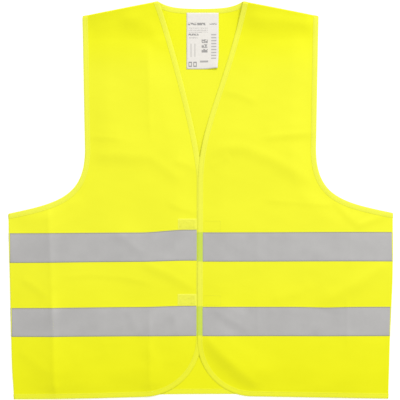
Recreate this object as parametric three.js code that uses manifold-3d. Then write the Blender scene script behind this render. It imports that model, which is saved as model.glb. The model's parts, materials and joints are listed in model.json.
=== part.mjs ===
// High visibility vest, sleeveless, lying flat on its back with the fronts closed.
//
// Millimetres, +Z up. +X is the wearer's left, +Y runs from the hem to the neck, and the origin
// is under the middle of the vest, on the surface that it lies on.
//
// The vest is one flattened tube of cloth. Its front and back are two level sheets, joined by a
// roll of cloth along each side seam and each shoulder seam. Every piece is a layer between two
// offsets from the middle of the cloth, cut to its own outline in plan.

import * as THREE from 'three';
import { mergeVertices } from 'three/addons/utils/BufferGeometryUtils.js';
import Module from 'manifold-3d';

const wasm = await Module();
wasm.setup();

// ---- Sizes of the garment -------------------------------------------------------------------

const length = 682;               // neck points to hem corners
const chestHalfWidth = 330.5;     // at the underarm
const hemHalfWidth = 323;
const neckHalfWidth = 73;
const shoulderHalfWidth = 200;
const shoulderDrop = 25;          // shoulder tip below the neck point
const backNeckDrop = 14;
const armholeDepth = 363;         // underarm below the neck point
const armholeHalfWidth = 198;     // where the armhole is deepest
const armholeScoop = 117;         // height of the round stretch above the underarm
const armholeSquareness = 2.25;   // exponent of the round stretch, 2 is an ellipse
const neckDepth = 269;            // where the fronts meet, below the neck point
const neckSlope = 0.2;            // front neckline at the neck point, inwards for each unit down
const neckFullness = 100;         // how far the front neckline keeps that slope
const closingFullness = 50;       // how far it runs straight before the fronts meet
const closingDrift = -5;          // the closing line wanders to the wearer's right at the hem
const closingGap = 1;             // between the two front edges
const cornerRadius = 90;          // rounded lower corner of each front
const frontHemRise = 6;           // bottom of that corner above the hem corners
const backHemRise = 8;            // middle of the back hem above the hem corners

// ---- Cloth, tape, binding, closures and label -----------------------------------------------

const clothThickness = 0.8;
const insideSpace = 8;            // clear height between the front and the back
const seamAllowance = 8;
const tapeWidth = 50;
const tapeThickness = 0.5;
const tapeAboveHem = 107.7;       // lower edge of the lower tape
const tapeSpacing = 77.7;         // clear height between the two tapes
const bindingWidth = 9.5;
const bindingThickness = 0.5;
const bindingEdge = 1;            // thickness of the fold round the raw edge
const patchLength = 32;
const patchWidth = 20;
const patchThickness = 1;
const patchAboveTape = 3.8;
const labelWidth = 55;
const labelLength = 95.5;
const labelThickness = 0.4;
const labelOffset = 3.5;          // centre of the label, to the wearer's left

// ---- Folds that let the fronts open ---------------------------------------------------------

const foldTopHalfWidth = 84;      // where the fold meets the shoulder
const foldFootHalfWidth = 150;    // where it meets the hem
const foldGap = 0.5;

const clearance = 0.3;            // between pieces that touch
const reach = 60;                 // how far cutting solids run past the garment
const rollFacets = 24;            // facets of a full turn of rolled cloth

// ---- Heights and layer offsets --------------------------------------------------------------

const clothFace = clothThickness / 2;
const coverInner = clothFace + clearance;
const coverOuter = coverInner + Math.max(tapeThickness, bindingThickness);
const rollRadius = insideSpace / 2 + clothFace;
const halfHeight = rollRadius + coverOuter;
const middle = halfHeight;
const frontFace = middle + rollRadius + clothFace;
const frontLining = middle + rollRadius - clothFace;
const backLining = middle - rollRadius + clothFace;

const yTop = length / 2;
const yHem = -length / 2;
const yUnderarm = yTop - armholeDepth;

// ---- Solids ---------------------------------------------------------------------------------

function solid(geometry) {
  geometry.deleteAttribute('normal');
  geometry.deleteAttribute('uv');
  const merged = mergeVertices(geometry, 1e-4);
  return new wasm.Manifold(new wasm.Mesh({
    numProp: 3,
    vertProperties: new Float32Array(merged.attributes.position.array),
    triVerts: new Uint32Array(merged.index.array),
  }));
}

function prism(points, bottom = -reach, top = 2 * halfHeight + reach) {
  const shape = new THREE.Shape(points);
  const geometry = new THREE.ExtrudeGeometry(shape, { depth: top - bottom, bevelEnabled: false });
  geometry.translate(0, 0, bottom);
  return solid(geometry);
}

function rectangle(xMin, xMax, yMin, yMax) {
  return [point(xMin, yMin), point(xMax, yMin), point(xMax, yMax), point(xMin, yMax)];
}

function point(x, y) {
  return new THREE.Vector2(x, y);
}

function sided(points, side) {
  return points.map((p) => point(side * p.x, p.y));
}

// ---- Curves in plan, drawn for the wearer's left --------------------------------------------

// Adds a straight run at both ends of a curve, so that what it cuts is cut right through.
function extended(points, distance) {
  const last = points.length - 1;
  const before = points[0].clone().sub(points[1]).setLength(distance).add(points[0]);
  const after = points[last].clone().sub(points[last - 1]).setLength(distance).add(points[last]);
  return [before, ...points, after];
}

// The curve moved to its left by a distance, with mitred corners.
function offset(points, distance) {
  return points.map((p, i) => {
    const into = p.clone().sub(points[Math.max(i - 1, 0)]).normalize();
    const out = points[Math.min(i + 1, points.length - 1)].clone().sub(p).normalize();
    const along = into.clone().add(out).normalize();
    const mitre = distance / Math.max(along.dot(i ? into : out), 0.5);
    return point(p.x - along.y * mitre, p.y + along.x * mitre);
  });
}

function band(curve, from, to) {
  return [...offset(curve, from), ...offset(curve, to).reverse()];
}

const neckPoint = point(neckHalfWidth, yTop);
const shoulderTip = point(shoulderHalfWidth, yTop - shoulderDrop);
const underarm = point(chestHalfWidth, yUnderarm);
const hemCorner = point(hemHalfWidth, yHem);

function armholeCurve() {
  const points = [];
  const steps = 14;
  for (let i = 0; i <= steps; i += 1) {
    const angle = (i / steps) * (Math.PI / 2);
    const across = Math.sin(angle) ** (2 / armholeSquareness);
    const down = Math.cos(angle) ** (2 / armholeSquareness);
    points.push(point(
      chestHalfWidth - (chestHalfWidth - armholeHalfWidth) * across,
      yUnderarm + armholeScoop * (1 - down),
    ));
  }
  points.push(shoulderTip);
  return extended(points, reach / 2);
}

// Front neckline, closing edge, rounded corner and hem. The closing line leans to one side, so
// the two fronts differ a little.
function frontEdgeCurve(side) {
  const closingX = closingGap / 2;
  const footX = closingX + side * closingDrift;
  const cornerY = yHem + frontHemRise + cornerRadius;
  const slope = point(-neckSlope, -1).setLength(neckFullness);
  const neckline = new THREE.CubicBezierCurve(
    neckPoint,
    neckPoint.clone().add(slope),
    point(closingX, yTop - neckDepth + closingFullness),
    point(closingX, yTop - neckDepth),
  ).getPoints(14);
  const corner = [];
  const steps = 10;
  for (let i = 0; i <= steps; i += 1) {
    const angle = Math.PI + (i / steps) * (Math.PI / 2);
    corner.push(point(
      footX + cornerRadius + cornerRadius * Math.cos(angle),
      cornerY + cornerRadius * Math.sin(angle),
    ));
  }
  return extended([...neckline, ...corner, hemCorner], reach / 3);
}

function backNeckCurve() {
  const control = point(0, yTop - 2 * backNeckDrop);
  const curve = new THREE.QuadraticBezierCurve(neckPoint, control, sided([neckPoint], -1)[0]);
  return extended(curve.getPoints(12), bindingWidth);
}

function backHemCurve() {
  const control = point(0, yHem + 2 * backHemRise);
  const curve = new THREE.QuadraticBezierCurve(sided([hemCorner], -1)[0], control, hemCorner);
  return extended(curve.getPoints(8), reach / 3);
}

// Outline of the front on one side, or of the back, taken in by a distance at its bound edges.
function frontOutline(side, distance) {
  return sided([
    ...offset(frontEdgeCurve(side), distance),
    ...offset(armholeCurve(), distance),
  ], side);
}

function backOutline(distance) {
  const armhole = offset(armholeCurve(), distance);
  return [
    ...offset(backHemCurve(), distance),
    ...armhole,
    ...offset(backNeckCurve(), distance),
    ...sided(armhole, -1).reverse(),
  ];
}

// ---- The flattened tube of cloth ------------------------------------------------------------

// A line moved to its left and crossed with another.
function crossing(a, b, c, d) {
  const r = b.clone().sub(a);
  const s = d.clone().sub(c);
  const t = (c.clone().sub(a)).cross(s) / r.cross(s);
  return a.clone().addScaledVector(r, t);
}

// Corners of the level part on the wearer's left: foot and top of the side roll, and the point
// on the middle line where the shoulder roll would end.
function levelCorners(inset) {
  const [sideFoot, sideTop] = offset([hemCorner, underarm], inset);
  const [shoulderOuter, shoulderInner] = offset([shoulderTip, neckPoint], inset);
  return [
    crossing(sideFoot, sideTop, point(0, yHem - reach), point(reach, yHem - reach)),
    crossing(sideFoot, sideTop, shoulderOuter, shoulderInner),
    crossing(shoulderOuter, shoulderInner, point(0, 0), point(0, reach)),
  ];
}

function levelOutline(inset) {
  const [foot, shoulder, apex] = levelCorners(inset);
  return [...sided([shoulder, foot], -1), foot, shoulder, apex];
}

function roll(from, to, radius, side) {
  const [a, b] = sided([from, to], side);
  const geometry = new THREE.CylinderGeometry(radius, radius, a.distanceTo(b), rollFacets);
  geometry.rotateZ(-Math.atan2(b.x - a.x, b.y - a.y));
  geometry.translate((a.x + b.x) / 2, (a.y + b.y) / 2, middle);
  return solid(geometry);
}

// Everything inside a surface that lies this far outside the middle of the cloth.
function tube(distance) {
  const radius = rollRadius + distance;
  const [foot, shoulder, apex] = levelCorners(halfHeight);
  let whole = prism(levelOutline(halfHeight), middle - radius, middle + radius);
  for (const side of [1, -1]) {
    whole = whole.add(roll(foot, shoulder, radius, side));
    whole = whole.add(roll(shoulder, apex, radius, side));
  }
  return whole;
}

const tubes = new Map();

function tubeOnce(distance) {
  if (!tubes.has(distance)) tubes.set(distance, tube(distance));
  return tubes.get(distance);
}

function layer(inner, outer) {
  return tubeOnce(outer).subtract(tubeOnce(inner));
}

const cloth = layer(-clothFace, clothFace);
const tapeLayer = layer(coverInner, coverInner + tapeThickness);
const bindingLayer = layer(-coverInner - bindingThickness, coverInner + bindingThickness);
const bindingSlot = layer(-coverInner, coverInner);

// ---- Regions --------------------------------------------------------------------------------

const wide = chestHalfWidth + reach;
const tall = length / 2 + reach;
const everywhere = rectangle(-wide, wide, -tall, tall);
const frontHalf = prism(everywhere, middle + clearance);
const backHalf = prism(everywhere, -reach, middle);
const upperHalf = prism(rectangle(-wide, wide, yUnderarm + armholeScoop, tall));
const lowerHalf = prism(rectangle(-wide, wide, -tall, yUnderarm + armholeScoop));
const level = prism(levelOutline(halfHeight + clearance / 2));
const levelAndGap = prism(levelOutline(halfHeight - clearance / 2));

const foldTop = point(foldTopHalfWidth, yTop);
const foldFoot = point(foldFootHalfWidth, yHem);

function flapRegion(side) {
  const fold = offset(extended([foldFoot, foldTop], reach), foldGap / 2);
  return prism(sided([...fold, point(-reach, tall + reach), point(-reach, -tall - reach)], side));
}

function sideRegion(side) {
  const fold = offset(extended([foldFoot, foldTop], reach), -foldGap / 2);
  return prism(sided([...fold, point(wide, tall + reach), point(wide, -tall - reach)], side));
}

function binding(curve, side) {
  const cover = bindingLayer.intersect(prism(sided(band(curve, 0, bindingWidth), side)));
  const slot = band(curve, bindingEdge, bindingWidth + bindingEdge);
  return { cover, slot: bindingSlot.intersect(prism(sided(slot, side))) };
}

// ---- Finishes -------------------------------------------------------------------------------

const finishes = {
  fabric: new THREE.MeshStandardMaterial({ color: '#f2f21c', roughness: 0.85, metalness: 0 }),
  seam: new THREE.MeshStandardMaterial({ color: '#e9ea18', roughness: 0.9, metalness: 0 }),
  binding: new THREE.MeshStandardMaterial({ color: '#f8f85a', roughness: 0.7, metalness: 0 }),
  tape: new THREE.MeshStandardMaterial({ color: '#bcbab8', roughness: 0.4, metalness: 0.1 }),
  patch: new THREE.MeshStandardMaterial({ color: '#f5f56a', roughness: 0.95, metalness: 0 }),
  label: new THREE.MeshStandardMaterial({ color: '#dcd9d2', roughness: 0.6, metalness: 0 }),
};

function piece(name, shape, finish) {
  const { vertProperties, triVerts } = shape.getMesh();
  const geometry = new THREE.BufferGeometry();
  geometry.setAttribute('position', new THREE.BufferAttribute(new Float32Array(vertProperties), 3));
  geometry.setIndex(new THREE.BufferAttribute(new Uint32Array(triVerts), 1));
  geometry.computeVertexNormals();
  const mesh = new THREE.Mesh(geometry, finishes[finish]);
  mesh.name = name;
  return mesh;
}

// ---- Back: panel, neck and hem bindings, tapes and label ------------------------------------

const sides = [['left', 1], ['right', -1]];
const clothInset = bindingEdge + clearance;
const trimInset = bindingWidth + clearance;

const lowerTapeFoot = yHem + tapeAboveHem;
const upperTapeFoot = lowerTapeFoot + tapeWidth + tapeSpacing;
const tapeRows = [['upper', upperTapeFoot], ['lower', lowerTapeFoot]];

function tapeRegion(foot) {
  return prism(rectangle(-wide, wide, foot, foot + tapeWidth));
}

function backNeckBinding() {
  const neck = binding(backNeckCurve(), 1);
  let cover = neck.cover.intersect(backHalf).intersect(levelAndGap);
  let slot = neck.slot.intersect(backHalf);
  for (const [, side] of sides) {
    const overShoulder = binding(frontEdgeCurve(side), side);
    cover = cover.add(overShoulder.cover.intersect(upperHalf).subtract(levelAndGap));
    slot = slot.add(overShoulder.slot.intersect(upperHalf));
  }
  return cover.subtract(slot);
}

function backHemBinding() {
  const { cover, slot } = binding(backHemCurve(), 1);
  return cover.subtract(slot).intersect(backHalf);
}

function backPieces() {
  const group = new THREE.Group();
  const panel = cloth.intersect(backHalf).intersect(level);
  group.add(piece('back_panel', panel.intersect(prism(backOutline(clothInset))), 'fabric'));
  group.add(piece('back_neck_binding', backNeckBinding(), 'binding'));
  group.add(piece('back_hem_binding', backHemBinding(), 'binding'));
  for (const [row, foot] of tapeRows) {
    const strip = tapeLayer.intersect(backHalf).intersect(tapeRegion(foot));
    const trimmed = strip.intersect(prism(backOutline(trimInset)));
    group.add(piece(`back_${row}_tape`, trimmed, 'tape'));
  }
  return group;
}

function careLabel() {
  const top = yTop - backNeckDrop - bindingWidth - clearance;
  const bottom = backLining + clearance;
  const outline = rectangle(
    labelOffset - labelWidth / 2,
    labelOffset + labelWidth / 2,
    top - labelLength,
    top,
  );
  return piece('care_label', prism(outline, bottom, bottom + labelThickness), 'label');
}

// ---- Seams: a roll of cloth with its overlocked allowance turned inwards --------------------

function seam(side, half) {
  const skin = cloth.subtract(levelAndGap).intersect(half);
  const allowance = tubeOnce(0)
    .intersect(prism(everywhere, middle - clothFace, middle + clothFace))
    .subtract(prism(levelOutline(halfHeight + seamAllowance)))
    .intersect(prism(frontOutline(side, trimInset + clearance)))
    .intersect(half);
  return skin.add(allowance).intersect(prism(frontOutline(side, clothInset)));
}

function seamPieces(name, side) {
  const group = new THREE.Group();
  const nearSide = prism(sided(rectangle(0, wide, -tall, tall), side));
  group.add(piece(`${name}_shoulder_seam`, seam(side, upperHalf.intersect(nearSide)), 'seam'));
  group.add(piece(`${name}_side_seam`, seam(side, lowerHalf.intersect(nearSide)), 'seam'));
  const { cover, slot } = binding(armholeCurve(), side);
  group.add(piece(`${name}_armhole_binding`, cover.subtract(slot), 'binding'));
  return group;
}

// ---- Fronts: the part beside the seams, and the flap that folds open ------------------------

function frontSidePieces(name, side) {
  const group = new THREE.Group();
  const region = sideRegion(side);
  const panel = cloth.intersect(frontHalf).intersect(level).intersect(region);
  const outline = prism(frontOutline(side, clothInset));
  group.add(piece(`${name}_front_side_panel`, panel.intersect(outline), 'fabric'));
  const { cover, slot } = binding(frontEdgeCurve(side), side);
  const hem = cover.subtract(slot).intersect(frontHalf).intersect(lowerHalf).intersect(region);
  group.add(piece(`${name}_side_hem_binding`, hem, 'binding'));
  const trimmed = prism(frontOutline(side, trimInset));
  for (const [row, foot] of tapeRows) {
    const strip = tapeLayer.intersect(frontHalf).intersect(region).intersect(tapeRegion(foot));
    group.add(piece(`${name}_side_${row}_tape`, strip.intersect(trimmed), 'tape'));
  }
  return group;
}

function flapPieces(name, side) {
  const group = new THREE.Group();
  const region = flapRegion(side).intersect(level).intersect(frontHalf);
  const outline = prism(frontOutline(side, clothInset));
  group.add(piece(`${name}_front_flap_panel`, cloth.intersect(region).intersect(outline), 'fabric'));
  const { cover, slot } = binding(frontEdgeCurve(side), side);
  group.add(piece(`${name}_front_edge_binding`, cover.subtract(slot).intersect(region), 'binding'));
  const trimmed = prism(frontOutline(side, trimInset));
  for (const [row, foot] of tapeRows) {
    const strip = tapeLayer.intersect(region).intersect(tapeRegion(foot));
    group.add(piece(`${name}_flap_${row}_tape`, strip.intersect(trimmed), 'tape'));
  }
  return group;
}

// How far into the front its edge comes, over a band of heights.
function edgeReach(side, yMin, yMax) {
  const curve = frontEdgeCurve(side);
  let widest = closingGap / 2;
  for (let i = 1; i < curve.length; i += 1) {
    const [a, b] = [curve[i - 1], curve[i]];
    for (const y of [yMin, yMax, THREE.MathUtils.clamp(b.y, yMin, yMax)]) {
      const share = (a.y - y) / (a.y - b.y);
      if (share >= 0 && share <= 1) widest = Math.max(widest, a.x + (b.x - a.x) * share);
    }
  }
  return widest;
}

// Closure patches: hooks inside the wearer's left front, loops outside the right front, each
// beside the binding and just above a tape.
function closurePatches(kind, side, bottom) {
  const group = new THREE.Group();
  for (const [row, foot] of tapeRows) {
    const yMin = foot + tapeWidth + patchAboveTape;
    const yMax = yMin + patchWidth;
    const xMin = edgeReach(side, yMin, yMax) + trimInset + clearance;
    const outline = sided(rectangle(xMin, xMin + patchLength, yMin, yMax), side);
    group.add(piece(`${row}_${kind}_patch`, prism(outline, bottom, bottom + patchThickness), 'patch'));
  }
  return group;
}

// ---- The whole vest -------------------------------------------------------------------------

const vest = new THREE.Group();
vest.add(backPieces());
vest.add(careLabel());
for (const [name, side] of sides) {
  vest.add(seamPieces(name, side));
  vest.add(frontSidePieces(name, side));
  vest.add(flapPieces(name, side));
}
vest.add(closurePatches('hook', 1, frontLining - clearance - patchThickness));
vest.add(closurePatches('loop', -1, frontFace + clearance));

export default vest;
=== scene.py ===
# %% [markdown]
# # A high visibility vest, laid flat
#
# The vest lies on its back with its fronts closed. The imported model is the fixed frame: it gives
# the size, the bodies and the folds about which the fronts open. Each visible piece here is cut
# to a pattern in the flat, as a cutter would do it, and then laid over one shared cloth surface,
# so that panels, tapes, bindings and stitches all follow the same folds.

# %% The frame
import json
import math

import bmesh
import bpy
import numpy as np
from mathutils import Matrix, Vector, geometry

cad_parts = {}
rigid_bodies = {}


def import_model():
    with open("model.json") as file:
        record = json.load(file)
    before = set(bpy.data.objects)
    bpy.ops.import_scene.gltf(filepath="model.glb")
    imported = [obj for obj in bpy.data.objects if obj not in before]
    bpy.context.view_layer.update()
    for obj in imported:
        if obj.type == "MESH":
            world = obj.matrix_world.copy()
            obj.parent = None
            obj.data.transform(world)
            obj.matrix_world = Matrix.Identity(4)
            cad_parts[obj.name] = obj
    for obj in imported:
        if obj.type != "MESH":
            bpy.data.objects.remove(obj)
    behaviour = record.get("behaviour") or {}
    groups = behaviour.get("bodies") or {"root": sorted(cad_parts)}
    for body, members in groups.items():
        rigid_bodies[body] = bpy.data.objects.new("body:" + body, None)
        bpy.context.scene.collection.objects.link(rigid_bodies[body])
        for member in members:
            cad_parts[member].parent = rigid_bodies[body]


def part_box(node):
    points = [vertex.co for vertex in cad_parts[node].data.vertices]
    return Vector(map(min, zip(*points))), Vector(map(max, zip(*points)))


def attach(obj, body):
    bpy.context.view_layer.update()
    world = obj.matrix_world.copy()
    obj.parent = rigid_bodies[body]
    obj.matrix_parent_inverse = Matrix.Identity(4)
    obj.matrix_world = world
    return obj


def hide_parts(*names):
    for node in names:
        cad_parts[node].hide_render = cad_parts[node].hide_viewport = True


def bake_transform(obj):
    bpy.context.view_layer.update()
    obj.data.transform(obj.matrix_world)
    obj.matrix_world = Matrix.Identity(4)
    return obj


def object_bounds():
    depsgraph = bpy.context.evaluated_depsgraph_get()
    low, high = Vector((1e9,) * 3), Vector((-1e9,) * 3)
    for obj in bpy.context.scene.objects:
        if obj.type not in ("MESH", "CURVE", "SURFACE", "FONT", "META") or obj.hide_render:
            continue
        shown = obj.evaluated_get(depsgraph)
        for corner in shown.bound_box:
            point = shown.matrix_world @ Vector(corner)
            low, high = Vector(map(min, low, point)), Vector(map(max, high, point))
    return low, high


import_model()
cad_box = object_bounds()


def box_mm(node):
    """Lowest and highest corner of a node of the frame, in millimetres."""
    low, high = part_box(node)
    return np.array(low) * 1000, np.array(high) * 1000


cad_low = np.array(cad_box[0]) * 1000
cad_high = np.array(cad_box[1]) * 1000
print("frame, mm:", cad_low.round(1), cad_high.round(1))

# %% [markdown]
# ## Sizes
#
# All pattern work is in millimetres, because that is how a garment is cut. What the frame knows
# is read from it: the overall size, the rows of tape, the patches and the label. The rest are
# the widths and thicknesses of the real materials, which are thinner than the frame's solids.

# %% Sizes of the garment
CHEST_X = cad_high[0]
NECK_Y = cad_high[1]
HEM_Y = cad_low[1]
BINDING_WIDTH = 9.0
armhole_low, _ = box_mm("left_armhole_binding")
ARMHOLE_X = armhole_low[0] + BINDING_WIDTH
UNDERARM_Y = armhole_low[1] + BINDING_WIDTH
ARMHOLE_SCOOP = 117
NECK_X = 73
SHOULDER_X = 202.5
SHOULDER_DROP = 25
BACK_NECK_DROP = 12.2
HEM_X = 323
CLOSING_TOP_Y = NECK_Y - 269
CORNER_RADII = {"left": 95, "right": 100}
FRONT_HEM_RISE = 4
BACK_HEM_RISE = 8.3
TAPE_ROWS = {row: box_mm(f"back_{row}_tape")[0][1] for row in ("upper", "lower")}
TAPE_WIDTH = 50

# Edge of each front along the closing line, at its top and foot. The wearer's left front laps
# over the right one, and the closing line leans to the wearer's right towards the hem.
CLOSING = {"left": (-4.6, -5.4), "right": (-2.6, -1.6)}
SIDES = {"left": 1, "right": -1}

print("width, mm:", round(2 * CHEST_X, 1), "length, mm:", round(NECK_Y - HEM_Y, 1))

# The wearer's left neckline is full at the chest. The right one lies straighter and runs on
# below it, under the lap.
NECKLINES = {
    "left": [(40.2, 190), (-2.5, 132), (CLOSING["left"][0], 30)],
    "right": [(65, 335), (2.5, 118), (CLOSING["right"][0], 40)],
}

# %% [markdown]
# ## Pattern curves
#
# Every outline is a list of points in the flat, drawn for the wearer's left. The cloth always
# lies on the left of the direction of travel, so that one rule moves any curve inwards.


# %% Curve helpers
def bezier(points, steps):
    """Points along a Bezier curve of any degree."""
    degree = len(points) - 1
    t = np.linspace(0, 1, steps + 1)[:, None]
    total = np.zeros((steps + 1, 2))
    for i, p in enumerate(points):
        total += math.comb(degree, i) * (1 - t) ** (degree - i) * t**i * np.array(p, float)
    return total


def resample(points, spacing):
    """The same line with points a steady distance apart."""
    points = np.asarray(points, float)
    steps = np.linalg.norm(np.diff(points, axis=0), axis=1)
    travelled = np.concatenate([[0], np.cumsum(steps)])
    count = max(int(round(travelled[-1] / spacing)), 1)
    marks = np.linspace(0, travelled[-1], count + 1)
    return np.stack([np.interp(marks, travelled, points[:, i]) for i in (0, 1)], axis=1)


def inward(points):
    """Unit direction to the left of travel at each point."""
    along = np.gradient(points, axis=0)
    along /= np.linalg.norm(along, axis=1)[:, None]
    return np.stack([-along[:, 1], along[:, 0]], axis=1)


def moved_in(points, distance):
    return points + inward(points) * distance


def armhole_curve():
    scoop_top = (ARMHOLE_X + 1, UNDERARM_Y + ARMHOLE_SCOOP)
    low_handle = (245, UNDERARM_Y + 18)
    high_handle = (ARMHOLE_X - 2, UNDERARM_Y + 27)
    scoop = bezier([(CHEST_X, UNDERARM_Y), low_handle, high_handle, scoop_top], 60)
    return np.vstack([scoop, [[SHOULDER_X, NECK_Y - SHOULDER_DROP]]])


def front_edge_curve(name):
    """Neckline, closing edge, rounded corner and hem of one front."""
    _, foot_x = CLOSING[name]
    radius = CORNER_RADII[name]
    corner_y = HEM_Y + FRONT_HEM_RISE + radius
    neckline = bezier([(NECK_X, NECK_Y), *NECKLINES[name]], 60)
    angle = np.linspace(math.pi, 1.5 * math.pi, 30)
    corner = np.stack(
        [
            foot_x + radius * (1 + np.cos(angle)),
            corner_y + radius * np.sin(angle),
        ],
        axis=1,
    )
    return np.vstack([neckline, corner, [[HEM_X, HEM_Y]]])


def back_neck_curve():
    quick_drop, level = NECK_Y - 16.5, NECK_Y - BACK_NECK_DROP
    half = [(NECK_X, NECK_Y), (50, quick_drop), (20, level)]
    return bezier(half + [(-x, y) for x, y in half[::-1]], 60)


def back_hem_curve():
    return bezier([(-HEM_X, HEM_Y), (0, HEM_Y + 2 * BACK_HEM_RISE), (HEM_X, HEM_Y)], 60)


# %% [markdown]
# ## The cloth surface
#
# A vest in the flat is a flattened tube: a front and a back that turn into each other at the
# side and shoulder seams. `cloth` takes a point of the pattern to its place in space. Away from
# the seams it only lifts the point to the height of the cloth there, and near a seam it leads it
# round a small roll. Heights are sums of simple shapes, so each fold can be tuned by itself.

# %% Seam lines
SEAM_RADIUS = 1.3
SEAM_ARC = SEAM_RADIUS * math.pi / 2
BACK_HEIGHT = 0.9
SEAM_HEIGHT = BACK_HEIGHT + 2 * SEAM_RADIUS


def line_gap(u, v, a, b):
    """Distance to the left of the line from a to b, and its unit direction to the right."""
    along = np.subtract(b, a) / np.linalg.norm(np.subtract(b, a))
    left = np.array([-along[1], along[0]])
    return (u - a[0]) * left[0] + (v - a[1]) * left[1], -left


SIDE_SEAM = ((HEM_X, HEM_Y), (CHEST_X, UNDERARM_Y))
SHOULDER_SEAM = ((SHOULDER_X, NECK_Y - SHOULDER_DROP), (NECK_X, NECK_Y))


def seam_gap(u, v):
    """Distance inside the nearest seam, and the unit direction out to it."""
    side_gap, side_out = line_gap(np.abs(u), v, *SIDE_SEAM)
    shoulder_gap, shoulder_out = line_gap(np.abs(u), v, *SHOULDER_SEAM)
    at_side = side_gap < shoulder_gap
    out_x = np.where(at_side, side_out[0], shoulder_out[0]) * np.where(u < 0, -1, 1)
    out_y = np.where(at_side, side_out[1], shoulder_out[1])
    return np.minimum(side_gap, shoulder_gap), out_x, out_y


def ease(t):
    t = np.clip(t, 0, 1)
    return t * t * (3 - 2 * t)


def curve_distance(u, v, curve):
    """Distance to a line that is given by its points."""
    shape = np.shape(u)
    p = np.stack([np.ravel(u), np.ravel(v)], axis=1)
    best = np.full(len(p), 1e9)
    for a, b in zip(curve[:-1], curve[1:]):
        run = b - a
        share = np.clip(((p - a) @ run) / (run @ run), 0, 1)
        best = np.minimum(best, np.hypot(*(p - a - share[:, None] * run).T))
    return best.reshape(shape)


# %% [markdown]
# ### Folds
#
# The light comes from the neck end and a little from the wearer's left. A soft fold shows as a
# dark band on its far side, so each fold is drawn as the line of its shaded slope, with a steep
# slope there and a long gentle one towards the light. A packing crease is sharp along the top
# and has its ridge on the line itself.

# %% Folds of the fronts
LIGHT_X, LIGHT_Y = 0.45, 0.89


def fold(u, v, path, width, height, crease=False):
    """A ridge just on the light side of a path, fading out towards the path's ends.

    A crease has its ridge on the path itself, and is sharp along the top.
    """
    path = np.asarray(path, float)
    if not crease:
        path = path + np.array([LIGHT_X, LIGHT_Y]) * width * 0.7
    runs = np.diff(path, axis=0)
    lengths = np.linalg.norm(runs, axis=1)
    starts = np.concatenate([[0], np.cumsum(lengths)])
    shape = np.shape(u)
    p = np.stack([np.ravel(u), np.ravel(v)], axis=1)
    best = np.full(len(p), 1e9)
    share = np.zeros(len(p))
    lit = np.zeros(len(p))
    for a, run, length, start in zip(path[:-1], runs, lengths, starts):
        t = np.clip(((p - a) @ run) / length**2, 0, 1)
        away = p - a - t[:, None] * run
        distance = np.hypot(*away.T)
        nearer = distance < best
        best = np.where(nearer, distance, best)
        share = np.where(nearer, (start + t * length) / starts[-1], share)
        lit = np.where(nearer, away @ np.array([LIGHT_X, LIGHT_Y]), lit)
    reach = width * (1 + 1.3 * ease(lit / (2 * width)))
    profile = np.exp(-best / reach) if crease else np.exp(-((best / reach) ** 2))
    taper = ease(share / 0.22) * ease((1 - share) / 0.22)
    return (height * profile * taper).reshape(shape)


SOFT_FOLDS = [
    # Below the shoulders
    ([(-150, 306), (-118, 298), (-82, 280), (-54, 246)], 20, 2.6),
    ([(62, 308), (110, 299), (165, 298), (210, 292)], 16, 2.2),
    # Across the chest
    ([(-205, 107), (-165, 104), (-132, 101)], 7, 0.8),
    ([(-210, 70), (-140, 71), (-90, 66), (-60, 46), (-20, 14)], 13, 1.7),
    ([(-52, 64), (-26, 58), (0, 44)], 8, 0.8),
    ([(28, 184), (62, 178), (100, 162)], 8, 0.9),
    ([(98, 103), (150, 108), (210, 112)], 8, 1.4),
    ([(-6, 66), (34, 82), (72, 83), (118, 64), (200, 18)], 15, 2.2),
    ([(8, 54), (28, 60), (50, 72)], 8, 0.6),
    ([(100, -2), (170, -8), (238, -13)], 6, 0.6),
    ([(-62, -6), (-34, -20), (2, -30)], 8, 0.9),
    ([(-326, -36), (-270, -32), (-205, 0)], 12, 1.3),
    ([(222, 2), (246, -26), (266, -50)], 8, 1.3),
    ([(254, -52), (288, -40), (332, -22)], 8, 1.6),
    # Between the tapes
    ([(-250, -134), (-190, -130), (-130, -136), (-74, -148)], 6, 0.6),
    ([(-112, -108), (-58, -132), (0, -166)], 11, 1.6),
    ([(-312, -134), (-288, -150), (-262, -172)], 10, 1.4),
    ([(334, -104), (296, -130), (252, -156), (190, -190)], 14, 1.9),
    ([(196, -150), (158, -166), (112, -176)], 10, 0.8),
    # Over the tapes
    ([(-150, -58), (-124, -78), (-94, -102)], 9, 0.9),
    ([(14, -188), (50, -212), (92, -234)], 9, 1.1),
    ([(-132, -190), (-116, -215), (-104, -242)], 9, 0.7),
    ([(-56, -194), (-44, -215), (-44, -242)], 9, 0.7),
    ([(212, -194), (204, -215), (192, -240)], 9, 0.6),
    # Below the tapes
    ([(-10, -228), (30, -270), (62, -300), (108, -334)], 14, 3.0),
    ([(90, -328), (180, -332), (310, -333)], 9, 1.0),
    ([(-228, -286), (-192, -276), (-150, -264)], 11, 0.7),
    ([(-100, -244), (-78, -290), (-84, -340)], 12, 1.0),
    ([(-320, -262), (-294, -276), (-262, -304)], 12, 1.0),
]
PACKING_CREASES = [
    ([(-262, 20), (-258, -80), (-255, -150), (-253, -235)], 14, 3.0),
    ([(-254, -150), (-252, -240), (-251, -310), (-242, -400)], 18, 5.2),
    ([(-90, 275), (-88, 190), (-86, 95)], 9, 1.4),
    ([(-88, -170), (-87, -260), (-86, -420)], 16, 2.6),
    ([(97, -30), (97, -80), (98, -130)], 5, 0.5),
    ([(98, -155), (98, -205), (98, -260)], 5, 0.5),
    ([(256, -40), (257, -80), (256, -120)], 5, 0.7),
    ([(251, -155), (252, -205), (251, -260)], 4, 0.8),
]
print("folds:", len(SOFT_FOLDS), "creases:", len(PACKING_CREASES))

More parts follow.
